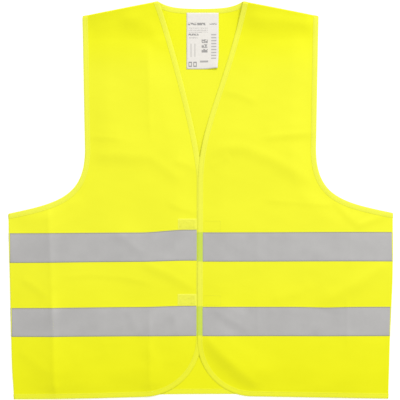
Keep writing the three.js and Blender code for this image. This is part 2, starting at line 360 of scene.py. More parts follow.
# %% [markdown]
# ### Height of the front and of the back
#
# The front lies a few millimetres above the back. It sinks towards its seams and open edges and
# carries the folds. Where the fronts lap, the wearer's left one rides on the right one. A gentle
# unevenness at two scales keeps the rest from looking ironed.

# %% Heights
FRONT_HEIGHT = 5.0
CLOSING_HEIGHT = 2.5
CORNER_HEIGHT = 1.9
SHOULDER_SWELL = 10.5
ARMHOLE_HEIGHT = 1.75
LAP_LIFT = 1.0
open_edges = [
    resample(front_edge_curve("left"), 12),
    resample(armhole_curve(), 12),
]


def unevenness(u, v, length, seed, count=14):
    """A smooth random surface between about -1 and 1, with features of roughly this length."""
    random = np.random.default_rng(seed)
    total = np.zeros(np.shape(u))
    for _ in range(count):
        turn = random.uniform(0, 2 * math.pi)
        scale = 2 * math.pi / (length * random.uniform(0.7, 1.6))
        phase = random.uniform(0, 2 * math.pi)
        total = total + np.sin((u * math.cos(turn) + v * math.sin(turn)) * scale + phase)
    return total / math.sqrt(count)


def shoulder_swell(u, v, armhole):
    """How far the stiff shoulder seams hold the cloth up, most of all beside the neck."""
    shoulder, _ = line_gap(np.abs(u), v, *SHOULDER_SEAM)
    at_neck = ease((SHOULDER_X - np.abs(u)) / 110)
    share = np.clip(1 - np.maximum(shoulder, 0) / (42 + 18 * at_neck), 0, 1) ** 1.5
    return SHOULDER_SWELL * (0.6 + 0.4 * at_neck) * share * (0.35 + 0.65 * ease(armhole / 25))


def front_height(u, v):
    seam, _, _ = seam_gap(u, v)
    closing, armhole = [curve_distance(np.abs(u), v, curve) for curve in open_edges]
    edge = np.minimum(closing, armhole)
    base = SEAM_HEIGHT + (FRONT_HEIGHT - SEAM_HEIGHT) * ease((seam - SEAM_ARC) / 60)
    closing_height = CORNER_HEIGHT + (CLOSING_HEIGHT - CORNER_HEIGHT) * ease((v + 290) / 60)
    base = base + (closing_height - base) * (1 - ease((closing - 6) / 45)) * 0.95
    base = base + (ARMHOLE_HEIGHT - base) * (1 - ease((armhole - 6) / 40)) * 0.95
    base = base + shoulder_swell(u, v, armhole)
    relief = np.zeros(np.shape(u))
    for path, width, height in SOFT_FOLDS:
        relief = relief + fold(u, v, path, width, height)
    for path, width, height in PACKING_CREASES:
        relief = relief + fold(u, v, path, width, height, crease=True)
    relief = relief + 0.5 * unevenness(u, v, 110, 3) + 0.07 * unevenness(u, v, 34, 5)
    fade = ease((seam - SEAM_ARC + 8) / 30) * (0.35 + 0.65 * ease(edge / 25))
    return np.maximum(base + relief * fade, ARMHOLE_HEIGHT)


def lap_lift(u, v):
    """How far the wearer's left front rises where it lies over the right one."""
    near_closing = 1 - ease((np.abs(u) - 8) / 45)
    return LAP_LIFT * near_closing * ease((CLOSING_TOP_Y + 60 - v) / 45) * ease((v + 285) / 50)


def back_height(u, v):
    seam, _, _ = seam_gap(u, v)
    edge = curve_distance(np.abs(u), v, open_edges[1])
    swell = np.clip(0.5 + 0.5 * unevenness(u, v, 120, 8), 0, 1.5)
    level = BACK_HEIGHT + 0.5 * swell * ease((seam - SEAM_ARC) / 40) * ease(edge / 40)
    beside_label = ease((np.abs(u) - 34) / 35)
    return level + 0.4 * shoulder_swell(u, v, edge) * beside_label


# %% [markdown]
# Working out every fold for every stitch would be slow, so the heights are worked out once on a
# fine grid, and everything reads them from there.

# %% Height grids
GRID_STEP = 2.0
grid_u = np.arange(cad_low[0] - 6, cad_high[0] + 6, GRID_STEP)
grid_v = np.arange(cad_low[1] - 6, cad_high[1] + 6, GRID_STEP)
mesh_u, mesh_v = np.meshgrid(grid_u, grid_v)


def grid_reader(values):
    """A function that reads a grid between its points."""

    def read(u, v):
        i = np.clip((u - grid_u[0]) / GRID_STEP, 0, len(grid_u) - 1.001)
        j = np.clip((v - grid_v[0]) / GRID_STEP, 0, len(grid_v) - 1.001)
        i0, j0 = i.astype(int), j.astype(int)
        a, b = i - i0, j - j0
        low = values[j0, i0] * (1 - a) + values[j0, i0 + 1] * a
        high = values[j0 + 1, i0] * (1 - a) + values[j0 + 1, i0 + 1] * a
        return low * (1 - b) + high * b

    return read


read_front = grid_reader(front_height(mesh_u, mesh_v))
read_back = grid_reader(back_height(mesh_u, mesh_v))
print("height grids:", mesh_u.shape)


# %% From the pattern to the cloth
def layer_height(u, v, layer):
    if layer == "back":
        return read_back(u, v)
    lift = lap_lift(u, v) if layer == "left" else 0
    return read_front(u, v) + lift


def mound(u, v, centre, reach):
    """1 at a centre, falling smoothly to 0 around it."""
    return np.exp(-(((u - centre[0]) / reach[0]) ** 2) - ((v - centre[1]) / reach[1]) ** 2)


def sway(u, v, layer):
    """How far the cloth has slid in its own plane, as nothing lies quite square."""
    across = 2.4 * mound(u, v, (328, -130), (60, 80)) + 2.0 * mound(u, v, (-322, -338), (40, 35))
    along = -2.4 * mound(u, v, (-330, -140), (160, 130))
    along = along - 1.8 * mound(u, v, (-200, -345), (130, 60))
    along = along + 0.8 * mound(u, v, (250, -75), (110, 50))
    along = along - 1.2 * mound(u, v, (215, -195), (35, 30))
    if layer == "right":
        pushed = ease(1.2 - np.abs(u + 8) / 80)
        along = along + pushed * 5.0 * mound(0, v, (0, -66), (1, 38))
        along = along + pushed * 1.8 * mound(0, v, (0, -185), (1, 30))
    return across, along


def cloth(u, v, layer):
    """Middle of the cloth, in millimetres, at a point of the pattern."""
    slide_u, slide_v = sway(u, v, layer)
    gap, out_x, out_y = seam_gap(u, v)
    past = np.clip(SEAM_ARC - gap, 0, None)
    axis_u, axis_v = u - out_x * past, v - out_y * past
    top = layer_height(axis_u, axis_v, "left" if layer == "left" else "right")
    bottom = layer_height(axis_u, axis_v, "back")
    angle = past / SEAM_RADIUS
    swing = (top - bottom) / 2 * np.cos(angle)
    height = (top + bottom) / 2 + (-swing if layer == "back" else swing)
    along = SEAM_RADIUS * np.sin(angle)
    place_x = axis_u + out_x * along + slide_u
    place_y = axis_v + out_y * along + slide_v
    return np.stack([place_x, place_y, height], axis=-1)


def laid(u, v, rise, layer):
    """A point that stands off the outer face of the cloth by `rise`."""
    u, v, rise = np.broadcast_arrays(np.asarray(u, float), np.asarray(v, float), rise)
    step = 0.4
    place = cloth(u, v, layer)
    across = cloth(u + step, v, layer) - cloth(u - step, v, layer)
    along = cloth(u, v + step, layer) - cloth(u, v - step, layer)
    normal = np.cross(across, along)
    normal /= np.linalg.norm(normal, axis=-1, keepdims=True)
    facing = -1 if layer == "back" else 1
    return place + normal * facing * rise[..., None]


# %% [markdown]
# ## Mesh helpers
#
# Panels are triangulated inside their outline. Bindings, tapes and seams are strips: a closed
# section carried along a line of stations. Each vertex keeps its pattern place as a UV, in
# metres, so that the knit and the weave follow the cloth when the fronts are folded back.

# %% Making meshes
MM = 0.001
SEAM_DEPTHS = (0.5, 1.0, 1.5, 2.1, 3.2)
collection = bpy.context.scene.collection


def mesh_object(name, points, faces, uv, material):
    mesh = bpy.data.meshes.new(name)
    mesh.from_pydata((np.asarray(points) * MM).tolist(), [], [list(map(int, f)) for f in faces])
    corner = np.zeros(len(mesh.loops), int)
    mesh.loops.foreach_get("vertex_index", corner)
    layer = mesh.uv_layers.new(name="pattern")
    layer.data.foreach_set("uv", (np.asarray(uv)[corner] * MM).ravel())
    mesh.polygons.foreach_set("use_smooth", [True] * len(mesh.polygons))
    mesh.materials.append(material)
    obj = bpy.data.objects.new(name, mesh)
    collection.objects.link(obj)
    return obj


def inside(points, outline):
    """Which points lie inside a closed outline."""
    x, y = points.T
    result = np.zeros(len(points), bool)
    for a, b in zip(outline, np.roll(outline, -1, axis=0)):
        crosses = (a[1] > y) != (b[1] > y)
        with np.errstate(divide="ignore", invalid="ignore"):
            at = (b[0] - a[0]) * (y - a[1]) / (b[1] - a[1]) + a[0]
        result ^= crosses & (x < at)
    return result


def closed_resample(outline, spacing):
    """Points along a closed outline that keep its corners."""
    pieces = []
    for a, b in zip(outline, np.roll(outline, -1, axis=0)):
        count = max(int(math.ceil(np.linalg.norm(b - a) / spacing)), 1)
        pieces.append(a + (b - a) * np.linspace(0, 1, count, endpoint=False)[:, None])
    return np.vstack(pieces)


def seam_rows(outline, spacing):
    """Rows of points that follow a seam closely, where the cloth turns over it."""
    rows = []
    for start, end in (SIDE_SEAM, SHOULDER_SEAM):
        start, end = np.array(start, float), np.array(end, float)
        count = int(np.linalg.norm(end - start) / spacing)
        share = np.linspace(0, 1, count + 1)[1:-1, None]
        line = start + (end - start) * share
        left = inward(line)
        for depth in SEAM_DEPTHS:
            for side in (1, -1):
                row = line + left * depth
                row[:, 0] *= side
                rows.append(row)
    rows = np.vstack(rows)
    return rows[inside(rows, outline)]


# %% Triangles of a panel
def panel_pattern(outline, spacing):
    """Triangles inside an outline, on a staggered grid."""
    edge = closed_resample(outline, spacing)
    row = spacing * math.sqrt(3) / 2
    low, high = outline.min(0), outline.max(0)
    inner = []
    for j, y in enumerate(np.arange(low[1], high[1], row)):
        x = np.arange(low[0] + (j % 2) * spacing / 2, high[0], spacing)
        inner.append(np.stack([x, np.full(len(x), y)], axis=1))
    inner = np.vstack(inner)
    inner = inner[inside(inner, outline)]
    gap, _, _ = seam_gap(inner[:, 0], inner[:, 1])
    clear = gap > SEAM_DEPTHS[-1] + spacing * 0.5
    inner = np.vstack([inner[clear], seam_rows(outline, spacing)])
    ring = np.vstack([outline, outline[:1]])
    bound = curve_distance(inner[:, 0], inner[:, 1], ring) < spacing * 0.45
    gap, _, _ = seam_gap(inner[:, 0], inner[:, 1])
    inner = inner[~bound | (gap < SEAM_DEPTHS[-1] + 0.1)]
    inner = inner[curve_distance(inner[:, 0], inner[:, 1], ring) > 0.3]
    points = np.vstack([edge, inner])
    ring = [list(range(len(edge)))]
    verts, _, faces, *_ = geometry.delaunay_2d_cdt(points.tolist(), [], ring, 1, 1e-5)
    return np.array([tuple(p) for p in verts]), faces


# %% Cloth panels
def finish_modifiers(obj):
    """Applies what is left on an object, so that its mesh is the finished shape."""
    graph = bpy.context.evaluated_depsgraph_get()
    mesh = bpy.data.meshes.new_from_object(obj.evaluated_get(graph))
    obj.modifiers.clear()
    obj.data = mesh
    return obj


def mark(obj, name, values):
    """Stores one number for each vertex, for a material to read."""
    obj.data.attributes.new(name, "FLOAT", "POINT").data.foreach_set("value", values)


# Where the painted highlight on the cloth rises from the hem, and where it falls off again on the
# shoulders, which lie in shade.
HIGHLIGHT_FOOT, HIGHLIGHT_RUN = -330, 300
SHOULDER_SHADE_FOOT, SHOULDER_SHADE_RUN, SHOULDER_SHADE_SHARE = 205, 80, 0.8


def panel(name, outline, layer, spacing, thickness, material):
    """A panel of cloth with its two faces and its cut edge."""
    pattern, faces = panel_pattern(outline, spacing)
    points = laid(pattern[:, 0], pattern[:, 1], 0.0, layer)
    if layer == "back":
        faces = [tuple(reversed(f)) for f in faces]
    obj = mesh_object(name, points, faces, pattern, material)
    v = pattern[:, 1]
    # Painted highlight: paler over the chest, less so at the hem and on the shoulders.
    faded = ease((v - HIGHLIGHT_FOOT) / HIGHLIGHT_RUN)
    mark(obj, "faded", faded * (1 - SHOULDER_SHADE_SHARE * ease((v - SHOULDER_SHADE_FOOT) / SHOULDER_SHADE_RUN)))
    solidify = obj.modifiers.new("cloth", "SOLIDIFY")
    solidify.thickness = thickness * MM
    solidify.offset = 0
    finish_modifiers(obj)
    print(name, len(obj.data.polygons), "faces")
    return obj


# %% Strips
def strip(name, stations, section, layers, material, closed=False):
    """A closed section carried along stations, each with a place and a direction across."""
    places, across = stations
    section = np.array(section, float)
    reach, rise = section.T
    u = places[:, 0, None] + across[:, 0, None] * reach
    v = places[:, 1, None] + across[:, 1, None] * reach
    points = np.zeros(u.shape + (3,))
    layers = np.array(layers)
    for layer in sorted(set(layers)):
        rows = layers == layer
        points[rows] = laid(u[rows], v[rows], rise, layer)
    along = np.concatenate([[0], np.cumsum(np.linalg.norm(np.diff(places, axis=0), axis=1))])
    ribbon_uv = np.stack(np.broadcast_arrays(along[:, None], reach[None, :]), axis=-1)
    return strip_mesh(name, points, ribbon_uv, closed, material)


def strip_mesh(name, points, pattern, closed, material):
    rows, columns = points.shape[:2]
    faces = []
    for i in range(rows if closed else rows - 1):
        a, b = i * columns, ((i + 1) % rows) * columns
        for j in range(columns):
            k = (j + 1) % columns
            faces.append((a + j, a + k, b + k, b + j))
    if not closed:
        faces.append(tuple(range(columns - 1, -1, -1)))
        faces.append(tuple((rows - 1) * columns + j for j in range(columns)))
    obj = mesh_object(name, points.reshape(-1, 3), faces, pattern.reshape(-1, 2), material)
    outwards(obj)
    return obj


def outwards(obj):
    """Turns all faces of a closed mesh to the outside."""
    shape = bmesh.new()
    shape.from_mesh(obj.data)
    bmesh.ops.recalc_face_normals(shape, faces=shape.faces)
    shape.to_mesh(obj.data)
    shape.free()
    obj.data.polygons.foreach_set("use_smooth", [True] * len(obj.data.polygons))


# %% [markdown]
# ## Shader helpers
#
# `Wave` wraps one socket, so that the sums behind a pattern can be written as plain expressions.
# `Finish` starts a material, and its one method `node` makes any node with its settings first
# and its socket values or links after.


# %% Shader classes
class Wave:
    """A number that varies over a surface, written as an expression."""

    def __init__(self, finish, socket):
        self.finish = finish
        self.socket = socket

    def maths(self, operation, *values):
        settings = {"operation": operation}
        sockets = dict(enumerate(values))
        return self.finish.node("ShaderNodeMath", settings, sockets)

    def __add__(self, other):
        return self.maths("ADD", self, other)

    def __sub__(self, other):
        return self.maths("SUBTRACT", self, other)

    def __rsub__(self, other):
        return self.maths("SUBTRACT", other, self)

    def __mul__(self, other):
        return self.maths("MULTIPLY", self, other)

    def __truediv__(self, other):
        return self.maths("DIVIDE", self, other)

    def __rtruediv__(self, other):
        return self.maths("DIVIDE", other, self)

    def __lt__(self, other):
        return self.maths("LESS_THAN", self, other)

    def __gt__(self, other):
        return self.maths("GREATER_THAN", self, other)

    __radd__ = __add__
    __rmul__ = __mul__

    def sine(self):
        return self.maths("SINE", self)

    def clamped(self):
        return self.maths("MAXIMUM", self.maths("MINIMUM", self, 1), 0)


# %% A finish
class Finish:
    """A material and the nodes that make it."""

    def __init__(self, name):
        self.material = bpy.data.materials.new(name)
        self.material.use_nodes = True
        self.nodes = self.material.node_tree.nodes
        self.shader = self.nodes["Principled BSDF"]

    def node(self, kind, settings=None, sockets=None, output=0):
        made = self.nodes.new(kind)
        for key, value in (settings or {}).items():
            if key == "stops":
                self.set_ramp(made, value)
            else:
                setattr(made, key, value)
        for key, value in (sockets or {}).items():
            self.put(made.inputs[key], value)
        return Wave(self, made.outputs[output])

    def set_ramp(self, made, stops):
        while len(made.color_ramp.elements) < len(stops):
            made.color_ramp.elements.new(1)
        for element, (place, colour) in zip(made.color_ramp.elements, stops):
            element.position = place
            element.color = colour

    def put(self, socket, value):
        if isinstance(value, Wave):
            self.material.node_tree.links.new(value.socket, socket)
        else:
            socket.default_value = value

    def surface(self, **sockets):
        for name, value in sockets.items():
            self.put(self.shader.inputs[name.replace("_", " ")], value)
        return self.material

    def pattern_place(self):
        """Place on the pattern, in metres, that goes with the cloth."""
        place = self.node("ShaderNodeUVMap", {"uv_map": "pattern"})
        parts = self.node("ShaderNodeSeparateXYZ", None, {0: place}).socket.node.outputs
        return place, Wave(self, parts[0]), Wave(self, parts[1])

    def object_place(self):
        return self.node("ShaderNodeTexCoord", output="Object")

    def noise(self, place, size, detail=2.0, roughness=0.5):
        """Noise with features of about `size` metres."""
        sockets = {"Vector": place, "Scale": 1 / size, "Detail": detail, "Roughness": roughness}
        return self.node("ShaderNodeTexNoise", None, sockets)

    def mixed(self, share, first, second):
        """Blends two colours."""
        made = self.nodes.new("ShaderNodeMix")
        made.data_type = "RGBA"
        self.put(made.inputs[0], share)
        self.put(made.inputs[6], first)
        self.put(made.inputs[7], second)
        return Wave(self, made.outputs[2])

    def bump(self, height, distance, strength=1.0):
        sockets = {"Height": height, "Distance": distance, "Strength": strength}
        return self.node("ShaderNodeBump", None, sockets)


# %% [markdown]
# ## Knitted cloth
#
# The vest is a warp knit: fine columns of loops with tiny gaps between. It could be modelled
# loop by loop, but at this pitch a pattern in the material reads the same and stays light. Two
# crossed waves make the loops, and they darken the colour a little in their grooves: painted
# shade. The dye is fluorescent, and the cloth is given a weak glow of its own colour: painted
# light, which also lightens its shaded folds. The cloth is painted paler over the chest, towards
# the light, and less so at the hem and on the shoulders, where more of it lies in shade: a painted
# highlight. Each vertex carries how much of it there is, and the material reads that number.

# %% Knit
TURN = 2 * math.pi
# The paler colour of the painted highlight on the cloth, and how much of it is mixed in.
PAINTED_HIGHLIGHT_KNIT = (0.835, 0.838, 0.060, 1)
PAINTED_HIGHLIGHT_SHARE = 0.34


def knit_finish(name, colour, deep, painted_glow, pitch=0.0011, relief=0.00012):
    finish = Finish(name)
    place, across, along = finish.pattern_place()
    wale = (across * (TURN / pitch)).sine()
    course = (along * (TURN / (pitch * 0.8))).sine()
    loops = wale * 0.6 + wale * course * 0.4
    wear = finish.noise(place, 0.055, 3.0)
    fibre = finish.noise(place, 0.0016, 2.0)
    # The loops darken the colour a little in their grooves: painted shade.
    tint = ((wear - 0.5) * 0.9 + (fibre - 0.5) * 0.5 + loops * 0.10 + 0.42).clamped()
    # Painted highlight, mixed in by the number on each vertex.
    faded = finish.node("ShaderNodeAttribute", {"attribute_name": "faded"}, output="Fac")
    shade = finish.mixed(faded * PAINTED_HIGHLIGHT_SHARE, finish.mixed(tint, deep, colour), PAINTED_HIGHLIGHT_KNIT)
    height = loops * 0.5 + fibre * 0.5
    return finish.surface(
        Base_Color=shade,
        Roughness=(fibre * 0.15 + 0.5).clamped(),
        Normal=finish.bump(height, relief, 0.6),
        # Painted light: a weak glow of the cloth's own colour that also lightens its shade.
        Emission_Color=shade,
        Emission_Strength=painted_glow,
        Specular_IOR_Level=0.2,
        Sheen_Weight=0.12,
        Sheen_Roughness=0.5,
        Sheen_Tint=(1.0, 1.0, 0.55, 1),
    )


KNIT_LIT = (0.832, 0.834, 0.002, 1)
KNIT_DEEP = (0.780, 0.786, 0.000, 1)
knit = knit_finish("fluorescent knit", KNIT_LIT, KNIT_DEEP, 0.045)
seam_knit = knit_finish("seam knit", KNIT_DEEP, (0.76, 0.78, 0.002, 1), 0.02)
print("knit made")

# %% [markdown]
# ## Ribbed binding
#
# The edges are bound with a narrow folded ribbon, paler than the cloth. Its fine ribs run across
# it. Each binding carries its own UV map: along the ribbon and across it, so that the ribs
# follow every curve. Two numbers on its vertices say how much painted highlight it gets, full
# towards the neck end and fading to a darker, more saturated painted shade at the hem, and
# where the grey tape below shows through it.


# %% Binding ribbon
OVER_TAPE = (0.545, 0.680, 0.075, 1)
# Painted shade: the ribbon's darker, more saturated colour towards the hem.
PAINTED_SHADE_RIBBON = (0.815, 0.825, 0.012, 1)


def binding_finish(name, colour, deep, painted_glow):
    finish = Finish(name)
    place, along, across = finish.pattern_place()
    ribs = (along * (TURN / 0.0009)).sine()
    weft = (across * (TURN / 0.0007)).sine()
    fibre = finish.noise(place, 0.0012, 2.0)
    tint = (ribs * 0.16 + (fibre - 0.5) * 0.8 + 0.55).clamped()
    # Painted highlight: the ribbon is paler towards the neck end and darker towards the hem.
    rubbed = finish.node("ShaderNodeAttribute", {"attribute_name": "rubbed"}, output="Fac")
    plain = finish.mixed(rubbed, PAINTED_SHADE_RIBBON, finish.mixed(tint, deep, colour))
    over_tape = finish.node("ShaderNodeAttribute", {"attribute_name": "over_tape"}, output="Fac")
    shade = finish.mixed(over_tape, plain, OVER_TAPE)
    height = ribs * 0.6 + weft * 0.15 + fibre * 0.3
    return finish.surface(
        Base_Color=shade,
        Roughness=(fibre * 0.2 + 0.6).clamped(),
        Normal=finish.bump(height, 0.00012, 0.7),
        # Painted light: a weak glow of the ribbon's own colour that also lightens its shade.
        Emission_Color=shade,
        Emission_Strength=painted_glow,
        Specular_IOR_Level=0.3,
    )


ribbon = binding_finish("binding ribbon", (0.835, 0.845, 0.070, 1), (0.790, 0.805, 0.036, 1), 0.05)
print("ribbon made")

# %% [markdown]
# ## Reflective tape
#
# The tape is a woven band faced with glass beads: a flat silvery grey in soft light, with a
# slight grain. A metallic share gives the silver, and a fine bump gives the beads. Its two edges
# are darker: a non-reflective selvedge, made dark enough to be painted shade where the tape is
# stitched down as well.


# %% Tape and thread
# Width of the dark edges of the tape: partly a real selvedge, partly painted shade along the
# stitching.
TAPE_SELVEDGE_AND_SHADE = 0.0011


def tape_finish():
    finish = Finish("bead tape")
    place, along, across = finish.pattern_place()
    beads = finish.noise(place, 0.0006, 2.0, 0.7)
    cloud = finish.noise(place, 0.03, 3.0)
    selvedge_and_shade = ((across < TAPE_SELVEDGE_AND_SHADE) + (across > TAPE_WIDTH * MM - TAPE_SELVEDGE_AND_SHADE)).clamped()
    weave = (along * (TURN / 0.0012)).sine() * (across * (TURN / 0.0012)).sine()
    tint = ((cloud - 0.5) * 0.9 + (beads - 0.5) * 0.7 + weave * 0.06 + 0.5).clamped()
    face = finish.mixed(tint, (0.405, 0.397, 0.390, 1), (0.525, 0.517, 0.507, 1))
    shade = finish.mixed(selvedge_and_shade * 0.75, face, (0.24, 0.235, 0.20, 1))
    return finish.surface(
        Base_Color=shade,
        Metallic=(cloud * 0.2 + 0.15).clamped(),
        Roughness=(beads * 0.25 + 0.42).clamped(),
        Normal=finish.bump(beads * 0.7 + weave * 0.3, 0.00006, 0.5),
        Specular_IOR_Level=0.4,
    )


def thread_finish(name, colour, deep):
    finish = Finish(name)
    place = finish.object_place()
    fibre = finish.noise(place, 0.0007, 2.0)
    return finish.surface(
        Base_Color=finish.mixed(fibre, deep, colour),
        Roughness=(fibre * 0.3 + 0.45).clamped(),
        Normal=finish.bump(fibre, 0.00005, 0.5),
        Specular_IOR_Level=0.4,
    )


tape = tape_finish()
yellow_thread = thread_finish("yellow thread", (0.86, 0.88, 0.05, 1), (0.70, 0.72, 0.02, 1))
grey_thread = thread_finish("grey thread", (0.44, 0.435, 0.43, 1), (0.30, 0.295, 0.29, 1))
print("tape and threads made")

# %% [markdown]
# ## Hook and loop, and the label
#
# The patches are a woven ground with bristles on it, drawn below. The label is white satin with
# blocks of print. The print could be letters, but only its grey texture matters here, so it is
# bars and boxes laid out as a care label is.


# %% Patches and label
def patch_finish(name, colour, deep):
    finish = Finish(name)
    place = finish.object_place()
    tuft = finish.noise(place, 0.0011, 3.0, 0.7)
    return finish.surface(
        Base_Color=finish.mixed((tuft * 1.6 - 0.3).clamped(), deep, colour),
        Roughness=(tuft * 0.2 + 0.7).clamped(),
        Normal=finish.bump(tuft, 0.0004, 0.8),
        Specular_IOR_Level=0.3,
    )


def label_finish(low, high):
    """Satin with bars of print, laid out on the label's own box."""
    finish = Finish("label satin")
    place, across, along = finish.pattern_place()
    width, length = high[0] - low[0], high[1] - low[1]
    s = (across - low[0]) / width
    t = (along - low[1]) / length

    def block(s0, s1, t0, t1):
        return (s > s0) * (s < s1) * (t > t0) * (t < t1)

    def lines(s0, s1, t0, t1, count):
        beat = ((t - t0) * (TURN * count / (t1 - t0))).sine() > 0.1
        return block(s0, s1, t0, t1) * beat

    words = finish.noise(place, 0.0026, 0.0) > 0.42
    small = finish.noise(place, 0.0014, 0.0) > 0.45
    ink = block(0.04, 0.60, 0.790, 0.835) * words + block(0.72, 0.95, 0.80, 0.83) * small
    ink = ink + lines(0.06, 0.66, 0.655, 0.765, 3) * small * 0.6
    ink = ink + block(0.06, 0.38, 0.605, 0.64) * words + block(0.08, 0.34, 0.555, 0.57) * small
    for step in range(3):
        ink = ink + block(0.47, 0.66, 0.30 + step * 0.085, 0.365 + step * 0.085) * words
    ink = ink + lines(0.77, 0.93, 0.18, 0.66, 9) * 0.7 + block(0.12, 0.16, 0.22, 0.46) * 0.4
    ink = ink + block(0.24, 0.28, 0.22, 0.46) * 0.4 + block(0.42, 0.68, 0.12, 0.155) * 0.8
    ink = ink + block(0.06, 0.17, 0.04, 0.135) + block(0.21, 0.32, 0.04, 0.135)
    ink = ink - block(0.085, 0.145, 0.065, 0.11) - block(0.235, 0.295, 0.065, 0.11)
    satin = (along * (TURN / 0.0006)).sine()
    fibre = finish.noise(place, 0.004, 2.0)
    cloth_shade = finish.mixed(fibre, (0.715, 0.685, 0.630, 1), (0.810, 0.778, 0.722, 1))
    shade = finish.mixed((ink * 0.66).clamped(), cloth_shade, (0.10, 0.10, 0.11, 1))
    return finish.surface(
        Base_Color=shade,
        Roughness=(fibre * 0.2 + 0.4).clamped(),
        Normal=finish.bump(satin, 0.00003, 0.4),
        Specular_IOR_Level=0.4,
    )


loop_pile = patch_finish("loop pile", (0.90, 0.90, 0.10, 1), (0.85, 0.86, 0.07, 1))
hook_ground = patch_finish("hook ground", (0.86, 0.88, 0.12, 1), (0.74, 0.76, 0.06, 1))
print("patches made")

# %% [markdown]
# ## The panels of cloth
#
# Three panels make the vest: two fronts and a back. Each could be a subdivided plane, but the
# cut edge would then be stepped. Here the outline is triangulated exactly and filled with a
# staggered grid, dense enough for the folds, and Solidify gives it the thickness of the knit.

# %% Outlines
FRONT_SPACING = 2.9
BACK_SPACING = 4.2
CLOTH_THICKNESS = 0.3
BOUND_INSET = 0.6


def without_repeats(points):
    keep = np.linalg.norm(np.roll(points, -1, axis=0) - points, axis=1) > 0.05
    return points[keep]


def front_outline(name):
    edge = moved_in(resample(front_edge_curve(name), 3.0), BOUND_INSET)
    armhole = moved_in(resample(armhole_curve(), 3.0), BOUND_INSET)
    outline = without_repeats(np.vstack([edge, armhole]))
    if name == "right":
        outline = outline[::-1] * [-1, 1]
    return outline


def back_outline():
    hem = moved_in(resample(back_hem_curve(), 4.0), BOUND_INSET)
    armhole = moved_in(resample(armhole_curve(), 3.0), BOUND_INSET)
    neck = moved_in(resample(back_neck_curve(), 3.0), BOUND_INSET)
    other = armhole[::-1] * [-1, 1]
    return without_repeats(np.vstack([hem, armhole, neck, other]))


# %% Cutting the panels
front_cloths = {}
for name in SIDES:
    piece = f"{name}_front_cloth"
    outline = front_outline(name)
    front_cloths[name] = panel(piece, outline, name, FRONT_SPACING, CLOTH_THICKNESS, knit)
back_cloth = panel("back_cloth", back_outline(), "back", BACK_SPACING, CLOTH_THICKNESS, knit)

# %% [markdown]
# ## Bindings
#
# A binding is a ribbon folded in half over the raw edge and stitched through. Its section is
# drawn once: out over the face, round the edge, back along the inside, with a slot for the
# cloth, and pinched where the stitches pull it down. The section is then carried along the
# edge. At each seam the stations turn gradually into the line of the seam, so that a binding
# that runs on to the back meets itself there.

# %% Binding section
STITCH_INSET = 1.7
BINDING_SECTION = [
    (BINDING_WIDTH, 0.16), (BINDING_WIDTH + 0.1, 0.28), (BINDING_WIDTH - 0.3, 0.38),
    (BINDING_WIDTH - 1.0, 0.39), (BINDING_WIDTH - STITCH_INSET, 0.30), (BINDING_WIDTH - 2.6, 0.42),
    (5.0, 0.47), (3.0, 0.45), (1.7, 0.36), (0.7, 0.20), (0.1, -0.02), (0.0, -0.20),
    (0.3, -0.34), (1.2, -0.41), (3.0, -0.43), (5.0, -0.42), (BINDING_WIDTH - 2.6, -0.38),
    (BINDING_WIDTH - STITCH_INSET, -0.29), (BINDING_WIDTH - 1.0, -0.36),
    (BINDING_WIDTH - 0.3, -0.34), (BINDING_WIDTH, -0.26), (BINDING_WIDTH - 0.1, -0.16),
    (0.5, -0.16), (0.5, 0.16),
]  # fmt: skip
BINDING_SPACING = 2.4
print("binding section:", len(BINDING_SECTION), "points")


def turned_to_seams(places, across, start=None, end=None, run=14):
    """Turns the first and last stations gradually into the direction of a seam."""
    across = across.copy()
    for direction, distance in (
        (start, np.linalg.norm(places - places[0], axis=1)),
        (end, np.linalg.norm(places - places[-1], axis=1)),
    ):
        if direction is None:
            continue
        share = (1 - ease(distance / run))[:, None]
        across = across * (1 - share) + np.array(direction) * share
    return across / np.linalg.norm(across, axis=1)[:, None]


def unit(a, b):
    run = np.subtract(b, a)
    return run / np.linalg.norm(run)


DOWN_SIDE = unit((CHEST_X, UNDERARM_Y), (HEM_X, HEM_Y))
UP_SIDE = -DOWN_SIDE
OUT_SHOULDER = unit((NECK_X, NECK_Y), (SHOULDER_X, NECK_Y - SHOULDER_DROP))
IN_SHOULDER = -OUT_SHOULDER


def mirrored(stations, side):
    places, across = stations
    return places * [side, 1], across * [side, 1]


def edge_stations(curve, start, end, spacing=BINDING_SPACING):
    places = resample(curve, spacing)
    return places, turned_to_seams(places, inward(places), start, end)


def front_edge_stations(name):
    stations = edge_stations(front_edge_curve(name), OUT_SHOULDER, UP_SIDE)
    return mirrored(stations, SIDES[name])


def armhole_stations(name):
    """Round the armhole: up the front, and down the back again."""
    places, across = edge_stations(armhole_curve(), DOWN_SIDE, IN_SHOULDER)
    both = np.vstack([places, places[-2:0:-1]]), np.vstack([across, across[-2:0:-1]])
    layers = [name] * len(places) + ["back"] * (len(places) - 2)
    return mirrored(both, SIDES[name]), layers


def back_neck_stations():
    return edge_stations(back_neck_curve(), OUT_SHOULDER, OUT_SHOULDER * [-1, 1])


def back_hem_stations():
    return edge_stations(back_hem_curve(), UP_SIDE * [-1, 1], UP_SIDE)


# %% Sewing on the bindings
SHOW_THROUGH = 40
OUTER_LEG = 10
# How the painted highlight on the bindings runs: full above, fading towards the hem to its least
# share.
RIBBON_HIGHLIGHT_ABOVE = -250
RIBBON_HIGHLIGHT_RUN = 110
LEAST_RIBBON_HIGHLIGHT = 0.25


